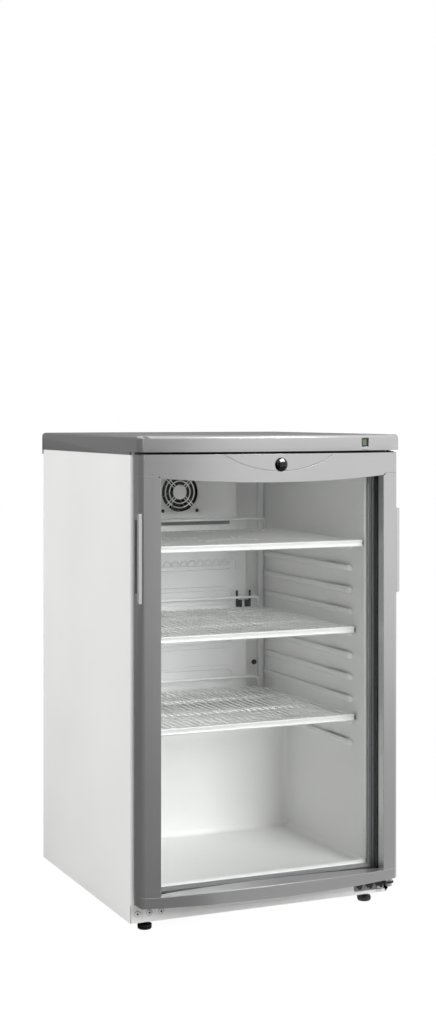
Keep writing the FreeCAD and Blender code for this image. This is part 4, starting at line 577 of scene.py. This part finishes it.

# %% [markdown]
# ## Cold plate
# The evaporator is rolled from two sheets, with the channels blown up between them. The wide channels are in
# the solid; the row of small arches where they meet is bent from a round wire and half sunk in the sheet.

# %% Channel arches and a strip of painted shade
ARCHES, ARCH_PITCH, ARCH_LOW, ARCH_RISE = 9, 17.5, 568, 19
SHADE_STRIP_HALF, SHADE_STRIP_TOP, SHADE_STRIP_LOW = 118, 665, 657.5
plate_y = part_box("evaporator_plate")[0].y + 1.8 * MM
rise = Vector((0, 0, ARCH_RISE * MM))
bm = bmesh.new()
for index in range(ARCHES):
    left, right = (Vector(((x + ARCH_PITCH * index) * MM, plate_y, ARCH_LOW * MM)) for x in (-21, -7))
    add_bent(bm, [left, left + rise, right + rise, right], 1.8 * MM, 6.9 * MM, segments=10, steps=6)
store("channel_arches", bm, "cabinet", "evaporator")
# The grey strip under the fan cover is painted shade: it stands in for the shadow that the cover casts on the
# plate.
slot = [(-SHADE_STRIP_HALF, SHADE_STRIP_TOP), (SHADE_STRIP_HALF, SHADE_STRIP_TOP), (SHADE_STRIP_HALF, SHADE_STRIP_LOW), (-SHADE_STRIP_HALF, SHADE_STRIP_LOW)]
bm = bmesh.new()
add_prism(bm, [(x, plate_y / MM - 1.5, z) for x, z in slot], (0, 1.7, 0))
store("painted_shade_strip", bm, "cabinet", "gasket_rubber")
print(ARCHES, "arches and the air slot under the fan cover")

# %% [markdown]
# ## Fan behind its grille
# The fan blows from a flat moulded cover under the cabin's roof. Its grille is a set of rings held by two
# crossed pairs of thin bars. We bridge a round opening to the cover's outline, fold the walls back, and turn
# the rings. Behind it the rotor has blades with a twist, made from a grid that is bent round the hub.

# %% Fan cover
low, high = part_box("fan_cover")
fan_low, fan_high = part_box("fan_frame")
axis_point = Vector(((fan_low.x + fan_high.x) / 2, low.y, (fan_low.z + fan_high.z) / 2))
facing = Matrix.Translation(axis_point) @ Matrix.Rotation(math.radians(90), 4, "X")
bm = bmesh.new()
hole = bmesh.ops.create_circle(bm, cap_ends=False, segments=96, radius=37.8 * MM, matrix=facing)["verts"]
hole_edges = list({edge for vert in hole for edge in vert.link_edges})
places = [(low.x, low.z), (high.x, low.z), (high.x, high.z), (low.x, high.z)]
corners = [bm.verts.new((x, low.y, z)) for x, z in places]
outline = [bm.edges.new((corners[i], corners[(i + 1) % 4])) for i in range(4)]
bmesh.ops.bridge_loops(bm, edges=hole_edges + outline)
walls = bmesh.ops.extrude_edge_only(bm, edges=outline)["geom"]
bmesh.ops.translate(bm, verts=verts_of(walls), vec=(0, high.y - low.y, 0))
bmesh.ops.recalc_face_normals(bm, faces=bm.faces)
rim = [edge for edge in outline if edge.is_valid
       and edge.verts[0].co.z + edge.verts[1].co.z < 2 * high.z - MM]
folds = [edge for edge in bm.edges if len(edge.link_faces) == 2
         and abs(edge.verts[0].co.y - edge.verts[1].co.y) > MM]
round_edges(bm, rim + folds, 4, 5)
cover = store("fan_cover_shell", bm, "cabinet", "liner_plastic", "fan_cover", closed=False)
thick = cover.modifiers.new("Wall", "SOLIDIFY")
thick.thickness = 2 * MM
thick.offset = -1.0

# %% Grille rings and bars
BAR, BAR_HALF = 38.2, 0.8
bm = bmesh.new()
add_turned(bm, [(0, 0.3), (13.7, 0.3), (14.2, 0.7), (14.2, 1.4), (0, 1.4)], axis_point, INWARD, 64)
for inner, outer in ((20.7, 22.7), (29.2, 31.2)):
    ring = [(inner, 1.4), (inner, 0.6), (inner + 0.5, 0.2), (outer - 0.5, 0.2), (outer, 0.6), (outer, 1.4),
            (inner, 1.4)]
    add_turned(bm, ring, axis_point, INWARD, 96)
for angle in (45, 135):
    turn = Matrix.Rotation(math.radians(angle), 3, "Y")
    for offset in (-2.5, 2.5):
        low_corner = Vector((-BAR, 0.5, offset - BAR_HALF)) * MM
        bar = add_box(bm, low_corner, Vector((BAR, 1.4, offset + BAR_HALF)) * MM)
        bmesh.ops.rotate(bm, verts=bar, cent=(0, 0, 0), matrix=turn)
        bmesh.ops.translate(bm, verts=bar, vec=axis_point)
store("fan_grille", bm, "cabinet", "liner_plastic")

# %% Fan rotor
BLADES = 7
rotor = Vector((axis_point.x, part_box("fan_impeller")[0].y, axis_point.z))
bm = bmesh.new()
add_turned(bm, [(0, 0), (11, 0), (13.2, 0.8), (14, 2.4), (14, 9), (2, 9), (2, 16.5), (0, 16.5)],
           rotor, INWARD, 48)
for index in range(BLADES):
    grid = bmesh.ops.create_grid(bm, x_segments=8, y_segments=4, size=0.5)["verts"]
    for vert in grid:
        along, across = vert.co.x + 0.5, vert.co.y
        reach, lead = 13 + 22.3 * along, 0.89 * across + 0.3 * along
        vert.co = Vector((reach * math.cos(lead), 4.5 + 6.6 * across, reach * math.sin(lead))) * MM
    turn = Matrix.Rotation(math.radians(360 / BLADES * index), 3, "Y")
    bmesh.ops.rotate(bm, verts=grid, cent=(0, 0, 0), matrix=turn)
    bmesh.ops.translate(bm, verts=grid, vec=rotor)
    blade = list({face for vert in grid for face in vert.link_faces})
    bmesh.ops.solidify(bm, geom=blade, thickness=1.2 * MM)
store("fan_rotor", bm, "fan", "black_plastic", "fan_impeller")
print("fan axis at", axis_point)

# %% [markdown]
# ## Lid
# The lid is a moulded cap with a bowed front. Its outline is an arc of one metre radius between two straight
# sides; we extrude it upwards, round the two front corners, then round the whole top rim, open the underside
# and give the skin its wall. A window for the display is split out of the front.

# %% Lid
LID_HALF, LID_BACK, LID_TOP, SIDE_LOW, FRONT_LOW = 249, 275, 840, 807.5, 812.5
SHOULDER, SHOULDER_STEP = -202, -202.3
BOW, BOW_CENTRE, BOW_STEPS = 1000, 725, 24
BELOW = 820 * MM
low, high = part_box("top_lid")
window_low, window_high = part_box("display_bezel")
swing = math.asin(LID_HALF / BOW)
bow = [(x, BOW_CENTRE - math.sqrt(BOW ** 2 - x ** 2)) for x in (window_low.x / MM, window_high.x / MM)]
for step in range(-BOW_STEPS, BOW_STEPS + 1):
    angle = swing * step / BOW_STEPS
    bow.append((BOW * math.sin(angle), BOW_CENTRE - BOW * math.cos(angle)))
outline = [(-LID_HALF, LID_BACK), (-LID_HALF, SHOULDER), (-LID_HALF, SHOULDER_STEP), *sorted(bow),
           (LID_HALF, SHOULDER_STEP), (LID_HALF, SHOULDER), (LID_HALF, LID_BACK)]


def beside_display(face):
    """Front face of the lid between the sides of the display."""
    return face.normal.y < -0.9 and window_low.x < face.calc_center_median().x < window_high.x


bm = bmesh.new()
add_prism(bm, [(x, y, LID_TOP) for x, y in outline], (0, 0, SIDE_LOW - LID_TOP))
for vert in bm.verts:
    if vert.co.z < BELOW and vert.co.y < -202.2 * MM:
        vert.co.z = FRONT_LOW * MM
underside = [face for face in bm.faces if all(vert.co.z < BELOW for vert in face.verts)]
bmesh.ops.delete(bm, geom=underside, context="FACES_ONLY")
bmesh.ops.recalc_face_normals(bm, faces=bm.faces)
front = [edge for edge in bm.edges
         if all(abs(vert.co.x) > 248.9 * MM and vert.co.y < -240 * MM for vert in edge.verts)]
round_edges(bm, front, 10.9, 8, clamp=False)
rim = [edge for edge in bm.edges if all(vert.co.z > 839.9 * MM for vert in edge.verts)]
round_edges(bm, rim, 6, 6, clamp=False)
for level in (window_low.z, window_high.z):
    strip = [face for face in bm.faces if beside_display(face)
             and min(vert.co.z for vert in face.verts) < level < max(vert.co.z for vert in face.verts)]
    parts = dict.fromkeys(item for face in strip for item in (face, *face.edges, *face.verts))
    bmesh.ops.bisect_plane(bm, geom=list(parts), plane_co=(0, 0, level), plane_no=(0, 0, 1))
window = [face for face in bm.faces if beside_display(face)
          and window_low.z < face.calc_center_median().z < window_high.z]
bmesh.ops.delete(bm, geom=window, context="FACES_ONLY")
cap = store("lid_cap", bm, "cabinet", "silver_plastic", "top_lid", closed=False)
skin = cap.modifiers.new("Wall", "SOLIDIFY")
skin.thickness = 3 * MM
skin.offset = -1.0
cap.modifiers.new("Flat faces", "WEIGHTED_NORMAL").keep_sharp = True
HOOK_X, HOOK_HALF = 248.25, 0.75
bm = bmesh.new()
for x in (-HOOK_X, HOOK_X):
    add_box(bm, Vector((x - HOOK_HALF, 270, 799)) * MM, Vector((x + HOOK_HALF, LID_BACK, 830)) * MM)
store("lid_hooks", bm, "cabinet", "silver_plastic")
print("lid", high - low)

# %% Seal under the lid
bm = bmesh.new()
add_box(bm, Vector((-240, -204, 808)) * MM, Vector((240, -202.4, 812.3)) * MM)
store("lid_seal", bm, "cabinet", "gasket_rubber")
print("seal between lid and door")

# %% Gasket lips
low, high = (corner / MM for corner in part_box("door_gasket"))
GASKET_HALF, GASKET_FLOOR = 206, 70.8
LIP_SECTION = [(0, -210), (4.5, -209), (5.2, -207), (4.5, -205), (0, -204)]
bm = bmesh.new()
for side in (-1, 1):
    section = [(side * (GASKET_HALF - rise), y, low.z + 6) for rise, y in LIP_SECTION]
    add_prism(bm, section, (0, 0, high.z - low.z - 12))
section = [(-GASKET_HALF, y, GASKET_FLOOR + rise) for rise, y in LIP_SECTION]
section += [(-GASKET_HALF, -204, 60), (-GASKET_HALF, -210, 60)]
add_prism(bm, section, (2 * GASKET_HALF, 0, 0))
store("gasket_lips", bm, "door", "gasket_rubber")

# %% Toothed hinge plate
PLATE_Y, TOOTH_ROOT, TOOTH_TIP = -202.1, 36.5, 27
bm = bmesh.new()
for x in (190, 211.5, 233):
    tooth = [(x - 6.5, TOOTH_ROOT), (x + 6.5, TOOTH_ROOT), (x + 2, TOOTH_TIP), (x - 2, TOOTH_TIP)]
    add_prism(bm, [(across, PLATE_Y, z) for across, z in tooth], (0, -1.1, 0))
add_box(bm, Vector((183, -203.2, 36)) * MM, Vector((243, PLATE_Y, 41)) * MM)
store("hinge_teeth", bm, "cabinet", "black_steel")
# The grey sheet behind the teeth is painted shade: it darkens the hinge window where the gap behind the plate
# lies in shadow.
bm = bmesh.new()
add_box(bm, Vector((180, -200.9, 23)) * MM, Vector((226, -200.6, 37)) * MM)
store("painted_shade_behind_teeth", bm, "cabinet", "gasket_rubber")
print("gasket lips, teeth and recess")

# %% [markdown]
# ## Lock
# The lock is a small turned barrel with a domed, dark polished face and a key slot. A spun profile gives the
# dome; the slot is a thin block let into it.

# %% Lock face
low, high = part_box("lock_cylinder")
lock_point = Vector(((low.x + high.x) / 2, low.y, (low.z + high.z) / 2))
DOME = [(0, -3.0), (3, -2.8), (5.5, -2.3), (7.6, -1.5), (9.3, -0.5), (10.6, 0.5), (11.5, 1.3), (12, 2.0)]
bm = bmesh.new()
add_turned(bm, [*DOME, (8.9, 2.0), (8.9, 31), (0, 31)], lock_point, INWARD, 64)
barrel = store("lock_barrel", bm, "lock", "lock_chrome", "lock_cylinder", sharp=50)
bm = bmesh.new()
add_box(bm, lock_point + Vector((-0.5, -3.02, -2.6)) * MM, lock_point + Vector((0.5, -1.0, 2.6)) * MM)
store("lock_key_slot", bm, "lock", "black_plastic")
print("lock at", lock_point)

# %% [markdown]
# ## Small fasteners
# Three white cross-head screws close the spare hinge holes at the lower left, and four dark ones hold the
# fan. Each head is a domed disc; the cross is an outline of twelve corners bridged to the rim and pushed in.

# %% Cross-head screws
def add_cross_head(bm, centre, radius, dome, recess):
    """Screw head facing -Y with a cross recess."""
    long, thin = radius * 0.56, radius * 0.15
    outline = [(thin, thin), (thin, long), (-thin, long), (-thin, thin), (-long, thin), (-long, -thin),
               (-thin, -thin), (-thin, -long), (thin, -long), (thin, -thin), (long, -thin), (long, thin)]
    centre = Vector(centre)
    cross = [bm.verts.new(centre + Vector((x, -dome, z))) for x, z in outline]
    cross_edges = [bm.edges.new((cross[i], cross[(i + 1) % 12])) for i in range(12)]
    quarter = Matrix.Rotation(math.radians(90), 4, "X")
    facing = Matrix.Translation(centre + Vector((0, -dome * 0.92, 0))) @ quarter
    ring = bmesh.ops.create_circle(bm, cap_ends=False, segments=24, radius=radius * 0.66,
                                   matrix=facing)["verts"]
    ring_edges = list({edge for vert in ring for edge in vert.link_edges})
    bmesh.ops.bridge_loops(bm, edges=cross_edges + ring_edges)
    for size, depth in ((0.88, 0.62), (1.0, 0.25), (1.0, 0.0)):
        grown = bmesh.ops.extrude_edge_only(bm, edges=ring_edges)["geom"]
        ring = verts_of(grown)
        ring_edges = [edge for edge in edges_of(grown) if all(vert in set(ring) for vert in edge.verts)]
        for vert in ring:
            flat = Vector((vert.co.x - centre.x, 0, vert.co.z - centre.z)).normalized() * radius * size
            vert.co = centre + flat + Vector((0, -dome * depth, 0))
    sunk = bmesh.ops.extrude_edge_only(bm, edges=cross_edges)["geom"]
    bmesh.ops.translate(bm, verts=verts_of(sunk), vec=(0, recess, 0))
    bottom = centre.y - dome + recess
    floor = [edge for edge in edges_of(sunk) if all(abs(vert.co.y - bottom) < 1e-6 for vert in edge.verts)]
    bmesh.ops.edgeloop_fill(bm, edges=floor)


low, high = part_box("panel_screws")
radius = (high.z - low.z) / 2
level = (low.z + high.z) / 2
spots = [low.x + radius + (high.x - low.x - 2 * radius) * index / 2 for index in range(3)]
PAINTED_SHADOW_RING = [(4.2, 0), (5.2, 0), (5.2, 0.3), (4.2, 0.3), (4.2, 0)]
bm = bmesh.new()
for x in spots:
    add_cross_head(bm, (x, high.y, level), radius, high.y - low.y, 1.2 * MM)
store("panel_screw_heads", bm, "cabinet", "white_paint", "panel_screws")
# Black bars at the floor of each white head's cross and a black ring just round each head are painted shade:
# they darken the recess and draw the shadow round the head.
bm = bmesh.new()
for spot in spots:
    middle = Vector((spot, low.y + 0.9 * MM, level))
    for x, z in ((0.56, 0.16), (0.16, 0.56)):
        arm = Vector((x * radius, 0, z * radius))
        add_box(bm, middle - arm, middle + arm + Vector((0, 0.2 * MM, 0)))
    add_turned(bm, PAINTED_SHADOW_RING, (spot, high.y - 0.3 * MM, level), INWARD, 32)
store("panel_screw_painted_shade", bm, "cabinet", "black_plastic")
bm = bmesh.new()
for x in (-36, 36):
    for z in (-36, 36):
        add_cross_head(bm, axis_point + Vector((x, 0, z)) * MM, 3.6 * MM, 1.4 * MM, 0.9 * MM)
store("fan_screws", bm, "cabinet", "black_plastic")

# %% Probe knob
low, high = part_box("wall_probe")
bm = bmesh.new()
add_turned(bm, [(0, 0), (1.4, 0.15), (2.2, 1), (4.2, 6.2), (5, 7), (5, 13), (0, 13)],
           ((low.x + high.x) / 2, low.y, (low.z + high.z) / 2), INWARD, 32)
store("probe_knob", bm, "cabinet", "black_plastic", "wall_probe")

# %% [markdown]
# ## Levelling feet
# A foot is a moulded disc with a scalloped edge for the fingers, on a threaded stem. The thread is one short
# zigzag spun upwards: each step of the spin also climbs, so the ends of the turns meet.

# %% Feet
def add_thread(bm, centre, radius, depth, pitch, turns, steps=16):
    """Screw thread that rises along +Z from a centre."""
    profile = [(radius, 0.0), (radius - depth, pitch / 2), (radius, pitch)]
    verts = [bm.verts.new(Vector(centre) + Vector((size, 0, level))) for size, level in profile]
    edges = [bm.edges.new(pair) for pair in zip(verts, verts[1:])]
    bmesh.ops.spin(bm, geom=verts + edges, cent=centre, axis=(0, 0, 1), dvec=(0, 0, pitch / steps),
                   angle=2 * math.pi * turns, steps=steps * turns, use_duplicate=False)


DISC = [(0, 0), (10.8, 0), (11.6, 0.5), (12.7, 2.6), (12.9, 3.6), (12.9, 7.4), (12.2, 8.4), (6.4, 9.6),
        (0, 9.6)]
LOBES, LOBE_DEPTH = 8, 0.45
for foot in ("front_left_foot", "front_right_foot", "rear_left_foot", "rear_right_foot"):
    low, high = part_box(foot)
    centre = Vector(((low.x + high.x) / 2, (low.y + high.y) / 2, 0.0))
    bm = bmesh.new()
    add_turned(bm, DISC, centre, UP, 64)
    for vert in bm.verts:
        away = vert.co - centre
        away.z = 0
        if away.length > 11 * MM:
            lobes = math.cos(LOBES * math.atan2(away.y, away.x))
            vert.co -= away.normalized() * (LOBE_DEPTH - LOBE_DEPTH * lobes) * MM
    add_thread(bm, centre + Vector((0, 0, 9.4 * MM)), 4 * MM, 0.6 * MM, 1.25 * MM, 15)
    add_rod(bm, centre + Vector((0, 0, 9.2 * MM)), centre + Vector((0, 0, 29 * MM)), 3.45 * MM, 24)
    store(foot + "_turned", bm, foot, SLOT_OF[foot], foot)
print("4 feet")

# %% [markdown]
# ## Hinge pins and bushes
# The door hangs on two steel pins in plastic bushes. They are plain turned pieces on one upright axis.

# %% Hinge pins and bushes
low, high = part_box("hinge_pins")
pin = Vector(((low.x + high.x) / 2, (low.y + high.y) / 2, 0.0))
LOWER_PIN = [(0, 41), (3.9, 41), (3.9, 44), (7, 44), (7, 51.2), (4, 51.2), (4, 64), (3.2, 65), (0, 65)]
UPPER_PIN = [(0, 796.5), (3.2, 796.5), (4, 797.5), (4, 816.5), (0, 816.5)]
LOWER_BUSH = [(4.05, 51.5), (9, 51.5), (9, 53), (6.5, 53), (6.5, 67), (4.05, 67), (4.05, 51.5)]
UPPER_BUSH = [(4.05, 794.5), (6.5, 794.5), (6.5, 808.5), (9, 808.5), (9, 810), (4.05, 810), (4.05, 794.5)]
bm = bmesh.new()
for profile in (LOWER_PIN, UPPER_PIN):
    add_turned(bm, profile, pin, UP, 40)
for head in (35, 816.5):
    add_rod(bm, pin + Vector((0, 0, head)) * MM, pin + Vector((0, 0, head + 6)) * MM, 6 * MM, 6)
store("turned_hinge_pins", bm, "cabinet", "bright_steel", "hinge_pins")
bm = bmesh.new()
for profile in (LOWER_BUSH, UPPER_BUSH):
    add_turned(bm, profile, pin, UP, 40)
store("turned_hinge_bushes", bm, "door", "black_plastic", "hinge_bushes")
print("hinge axis", pin)

# %% [markdown]
# ## Machine bay
# The recess at the bottom rear holds the compressor, a welded black shell of two drawn halves on rubber feet,
# with the drip tray on top. A condenser of bent tube with welded wires hangs on the rear panel, and copper
# pipes join them through the filter drier.

# %% Compressor
low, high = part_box("compressor")
heart = Vector(((low.x + high.x) / 2, (low.y + high.y) / 2, 0.0))
SHELL = [(0, 34), (30, 34), (40, 36), (48, 41), (51.4, 48), (52, 54), (52, 100), (53.5, 100.4), (55, 101.2),
         (55, 103), (53.5, 104), (52, 104.4), (52, 138), (51, 148), (48, 158), (42, 167), (34, 174.5),
         (25, 180), (14, 183.2), (0, 184)]
bm = bmesh.new()
add_turned(bm, SHELL, heart, UP, 72)
plate = add_box(bm, (low.x, low.y + 9 * MM, low.z), (high.x, high.y - 9 * MM, low.z + 3 * MM))
uprights = [edge for edge in bm.edges if all(vert in plate for vert in edge.verts)
            and abs(edge.verts[0].co.z - edge.verts[1].co.z) > MM]
round_edges(bm, uprights, 8, 5, clamp=False)
store("compressor_shell", bm, "cabinet", "compressor_paint", "compressor", sharp=30)
low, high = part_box("compressor_mounts")
MOUNT = [(0, 20), (8.6, 20), (9, 20.6), (9, 25), (7, 26), (7, 29), (9, 30), (9, 33.4), (8.6, 34), (0, 34)]
bm = bmesh.new()
for x in (low.x + 9 * MM, high.x - 9 * MM):
    for y in (low.y + 9 * MM, high.y - 9 * MM):
        add_turned(bm, MOUNT, (x, y, 0), UP, 32)
store("rubber_mounts", bm, "cabinet", "mount_rubber", "compressor_mounts")

# %% Condenser
low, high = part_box("condenser")
coil_y, coil_half, coil_top, coil_pitch = low.y + 2.5 * MM, 185 * MM, high.z - 12 * MM, 70 * MM
route = []
for run in range(7):
    sides = (coil_half, -coil_half) if run % 2 == 0 else (-coil_half, coil_half)
    route += [(side, coil_y, coil_top - run * coil_pitch) for side in sides]
bm = bmesh.new()
add_bent(bm, route, 2.5 * MM, 30 * MM, segments=12, steps=8)
for index in range(15):
    x = (-180 + 360 / 14 * index) * MM
    add_rod(bm, (x, coil_y + 3.2 * MM, low.z), (x, coil_y + 3.2 * MM, high.z), 0.8 * MM, 8)
store("condenser_coil", bm, "cabinet", "black_steel", "condenser")

# %% Copper pipes and the filter drier
low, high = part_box("filter_drier")
drier = Vector(((low.x + high.x) / 2, (low.y + high.y) / 2, 0.0))
DRIER = [(0, 90), (3, 90), (3.4, 92), (7.6, 97.5), (9, 100), (9, 101), (8.7, 101.5), (8.7, 178.5), (9, 179),
         (9, 180), (7.6, 182.5), (3.4, 188), (3, 190), (0, 190)]
bm = bmesh.new()
add_turned(bm, DRIER, drier, UP, 40)
store("drier_shell", bm, "cabinet", "copper", "filter_drier", sharp=30)
PIPE, CAPILLARY, BEND = 2.5 * MM, 1.5 * MM, 14 * MM
DISCHARGE, SUCTION, SUCTION_TOP, LOOP_TOP, LOOP_LOW = 0.124, 0.069, 0.215, 0.232, 0.062
wall_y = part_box("rear_panel")[0].y + MM
riser, coil_low = 212 * MM, coil_top - 6 * coil_pitch
feed, back = drier.x + 56 * MM, drier.x + 84 * MM
hot = [(heart.x + 50 * MM, heart.y, DISCHARGE), (riser, heart.y, DISCHARGE), (riser, coil_y, DISCHARGE),
       (riser, coil_y, coil_top), (coil_half, coil_y, coil_top)]
liquid = [(-coil_half, coil_y, coil_low), (drier.x, coil_y, coil_low), (drier.x, coil_y, LOOP_TOP),
          (drier.x, drier.y, LOOP_TOP), (drier.x, drier.y, 190 * MM)]
thin = [(drier.x, drier.y, 90 * MM), (drier.x, drier.y, LOOP_LOW), (feed, drier.y, LOOP_LOW),
        (feed, wall_y, LOOP_LOW)]
cold = [(back, wall_y, SUCTION_TOP), (back, heart.y, SUCTION_TOP), (back, heart.y, SUCTION),
        (heart.x - 50 * MM, heart.y, SUCTION)]
bm = bmesh.new()
for route, radius in ((hot, PIPE), (liquid, PIPE), (thin, CAPILLARY), (cold, PIPE)):
    add_bent(bm, route, radius, BEND)
store("copper_pipes", bm, "cabinet", "copper", "refrigerant_lines")

# %% Gland and drain
low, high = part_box("mains_gland")
SLEEVE = [(4.2, 0), (9, 0), (9, 5), (8.4, 6.6), (6, 6.6), (5.2, 9), (5.6, 9.6), (5.0, 12), (5.4, 12.6),
          (4.8, 15), (5.2, 15.6), (4.4, 18.4), (4.1, 22), (2.9, 22), (2.9, 4), (0, 4)]
bm = bmesh.new()
add_turned(bm, SLEEVE, ((low.x + high.x) / 2, low.y, (low.z + high.z) / 2), INWARD, 36)
store("gland_sleeve", bm, "cabinet", "black_plastic", "mains_gland", sharp=30)
low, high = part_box("drain_tube")
middle = ((low.x + high.x) / 2, (low.y + high.y) / 2, low.z)
length = (high.z - low.z) / MM
bm = bmesh.new()
add_turned(bm, [(4.5, 0), (6, 0), (6, length), (4.5, length), (4.5, 0)], middle, UP, 32)
store("drain_spout", bm, "cabinet", "liner_plastic", "drain_tube")
print("machine bay done")

# %% [markdown]
# ## Camera
# The photograph is taken from the left front, a little above half height, with a long lens and level, so
# uprights stay upright. Its horizon lies above the middle of the frame, which a lens shift gives.

# %% Camera
lens = bpy.data.cameras.new("Camera")
lens.sensor_fit = "VERTICAL"
lens.sensor_height = 36.0
lens.lens = 59.88
lens.shift_x = 0.0009
lens.shift_y = -0.0962
camera = bpy.data.objects.new("Camera", lens)
camera.location = (-1.26465, -2.88442, 0.87707)
camera.rotation_euler = (math.radians(90), 0.0, math.radians(-23.68))
scene.collection.objects.link(camera)
scene.camera = camera

# %% [markdown]
# ## Studio
# A white sweep and soft boxes, as for a catalogue picture: one box far to the left for the white side, one
# right of the camera for the door, and one overhead that draws the highlight along the lid. The background is
# white for what looks at it directly, in a mirror or through glass, and dimmer as a source of light. Cards
# that only mirrors see give the silver mouldings their darker sides, and two more lamps draw highlights
# alone, one on the lock and one on the shelf wires.

# %% World and floor
def white_to_eyes(tree):
    """Mask that is 1 for camera, mirror and glass rays."""
    ray = tree.nodes.new("ShaderNodeLightPath")
    total = None
    for name in ("Is Camera Ray", "Is Glossy Ray", "Is Transmission Ray"):
        if total is None:
            total = ray.outputs[name]
            continue
        larger = tree.nodes.new("ShaderNodeMath")
        larger.operation = "MAXIMUM"
        tree.links.new(total, larger.inputs[0])
        tree.links.new(ray.outputs[name], larger.inputs[1])
        total = larger.outputs[0]
    return total


world = bpy.data.worlds.new("Studio")
world.use_nodes = True
scene.world = world
tree = world.node_tree
seen = tree.nodes["Background"]
seen.inputs["Color"].default_value = (1.0, 1.0, 1.0, 1.0)
level = tree.nodes.new("ShaderNodeMapRange")
level.inputs["To Min"].default_value = 0.25
level.inputs["To Max"].default_value = 1.0
tree.links.new(white_to_eyes(tree), level.inputs["Value"])
tree.links.new(level.outputs["Result"], seen.inputs["Strength"])

sweep = bpy.data.materials.new("white_sweep")
sweep.use_nodes = True
tree = sweep.node_tree
shader = tree.nodes["Principled BSDF"]
shader.inputs["Base Color"].default_value = (0.86, 0.86, 0.86, 1.0)
shader.inputs["Roughness"].default_value = 0.9
glow = tree.nodes.new("ShaderNodeEmission")
glow.inputs["Strength"].default_value = 1.08
scaled = tree.nodes.new("ShaderNodeMath")
scaled.operation = "MULTIPLY"
scaled.inputs[1].default_value = 0.9
tree.links.new(white_to_eyes(tree), scaled.inputs[0])
blend = tree.nodes.new("ShaderNodeMixShader")
tree.links.new(scaled.outputs[0], blend.inputs[0])
tree.links.new(shader.outputs[0], blend.inputs[1])
tree.links.new(glow.outputs[0], blend.inputs[2])
tree.links.new(blend.outputs[0], tree.nodes["Material Output"].inputs["Surface"])
bm = bmesh.new()
bmesh.ops.create_grid(bm, x_segments=1, y_segments=1, size=12.0, matrix=Matrix.Translation((0, 0, -0.5 * MM)))
mesh = bpy.data.meshes.new("floor")
bm.to_mesh(mesh)
bm.free()
mesh.materials.append(sweep)
floor = bpy.data.objects.new("floor", mesh)
scene.collection.objects.link(floor)


# %% Lamps
def soft_box(name, place, aim, width, height, power):
    """Rectangular lamp that faces a point."""
    lamp = bpy.data.lights.new(name, "AREA")
    lamp.shape = "RECTANGLE"
    lamp.size = width
    lamp.size_y = height
    lamp.energy = power
    box = bpy.data.objects.new(name, lamp)
    box.location = place
    box.rotation_euler = (Vector(aim) - Vector(place)).to_track_quat("-Z", "Y").to_euler()
    scene.collection.objects.link(box)
    return box


def dark_card(name, place, aim, width, height, level):
    """Card that only mirrors see; silver mouldings get their darker sides from it."""
    bm = bmesh.new()
    turn = (Vector(aim) - Vector(place)).to_track_quat("Z", "Y").to_matrix().to_4x4()
    bmesh.ops.create_grid(bm, x_segments=1, y_segments=1, size=0.5,
                          matrix=Matrix.Translation(place) @ turn @ Matrix.Diagonal((width, height, 1, 1)))
    mesh = bpy.data.meshes.new(name)
    bm.to_mesh(mesh)
    bm.free()
    material = bpy.data.materials.new(name)
    material.use_nodes = True
    shader = material.node_tree.nodes["Principled BSDF"]
    shader.inputs["Base Color"].default_value = (0.0, 0.0, 0.0, 1.0)
    shader.inputs["Specular IOR Level"].default_value = 0.0
    shader.inputs["Emission Color"].default_value = (1.0, 1.0, 1.0, 1.0)
    shader.inputs["Emission Strength"].default_value = level
    mesh.materials.append(material)
    card = bpy.data.objects.new(name, mesh)
    scene.collection.objects.link(card)
    for ray in ("camera", "diffuse", "transmission", "volume_scatter", "shadow"):
        setattr(card, "visible_" + ray, False)


dark_card("left_card", (-2.9, -0.4, 1.1), (0, -0.4, 1.1), 7.0, 2.6, 0.02)
dark_card("back_card", (0.0, 3.1, 1.1), (0, 0, 1.1), 5.8, 2.6, 0.14)
dark_card("front_card", (-0.95, -3.9, 1.1), (-0.3, 0, 1.1), 2.3, 2.6, 0.22)
dark_card("left_floor_card", (-1.5, -0.4, 0.002), (-1.5, -0.4, 1), 2.8, 7.0, 0.02)
dark_card("front_floor_card", (1.2, -1.4, 0.002), (1.2, -1.4, 1), 2.6, 2.2, 0.35)
soft_box("left_box", (-3.2, 0.6, 1.6), (0, 0, 0.5), 2.2, 2.2, 71).visible_glossy = False
soft_box("front_box", (1.0, -3.2, 1.9), (0, 0, 0.4), 1.5, 1.5, 113).visible_glossy = False
soft_box("gloss_box", (0.95, -1.75, 2.6), (0, -0.27, 0.8), 0.5, 0.5, 26).visible_diffuse = False


def sparkle(name, place, aim, width, height, power, pieces):
    """Lamp that only draws a highlight on some pieces."""
    box = soft_box(name, place, aim, width, height, power)
    box.visible_diffuse = False
    lit = bpy.data.collections.new(name)
    for piece in pieces:
        lit.objects.link(piece)
    box.light_linking.receiver_collection = lit


sparkle("lock_sparkle", (0.87, -1.4, 2.15), (0, -0.27, 0.79), 2.2, 1.4, 200, [barrel])
sparkle("wire_sparkle", (1.45, -3.2, 1.6), (0, 0, 0.5), 1.2, 1.2, 160, grids)
scene.view_settings.view_transform = "Standard"
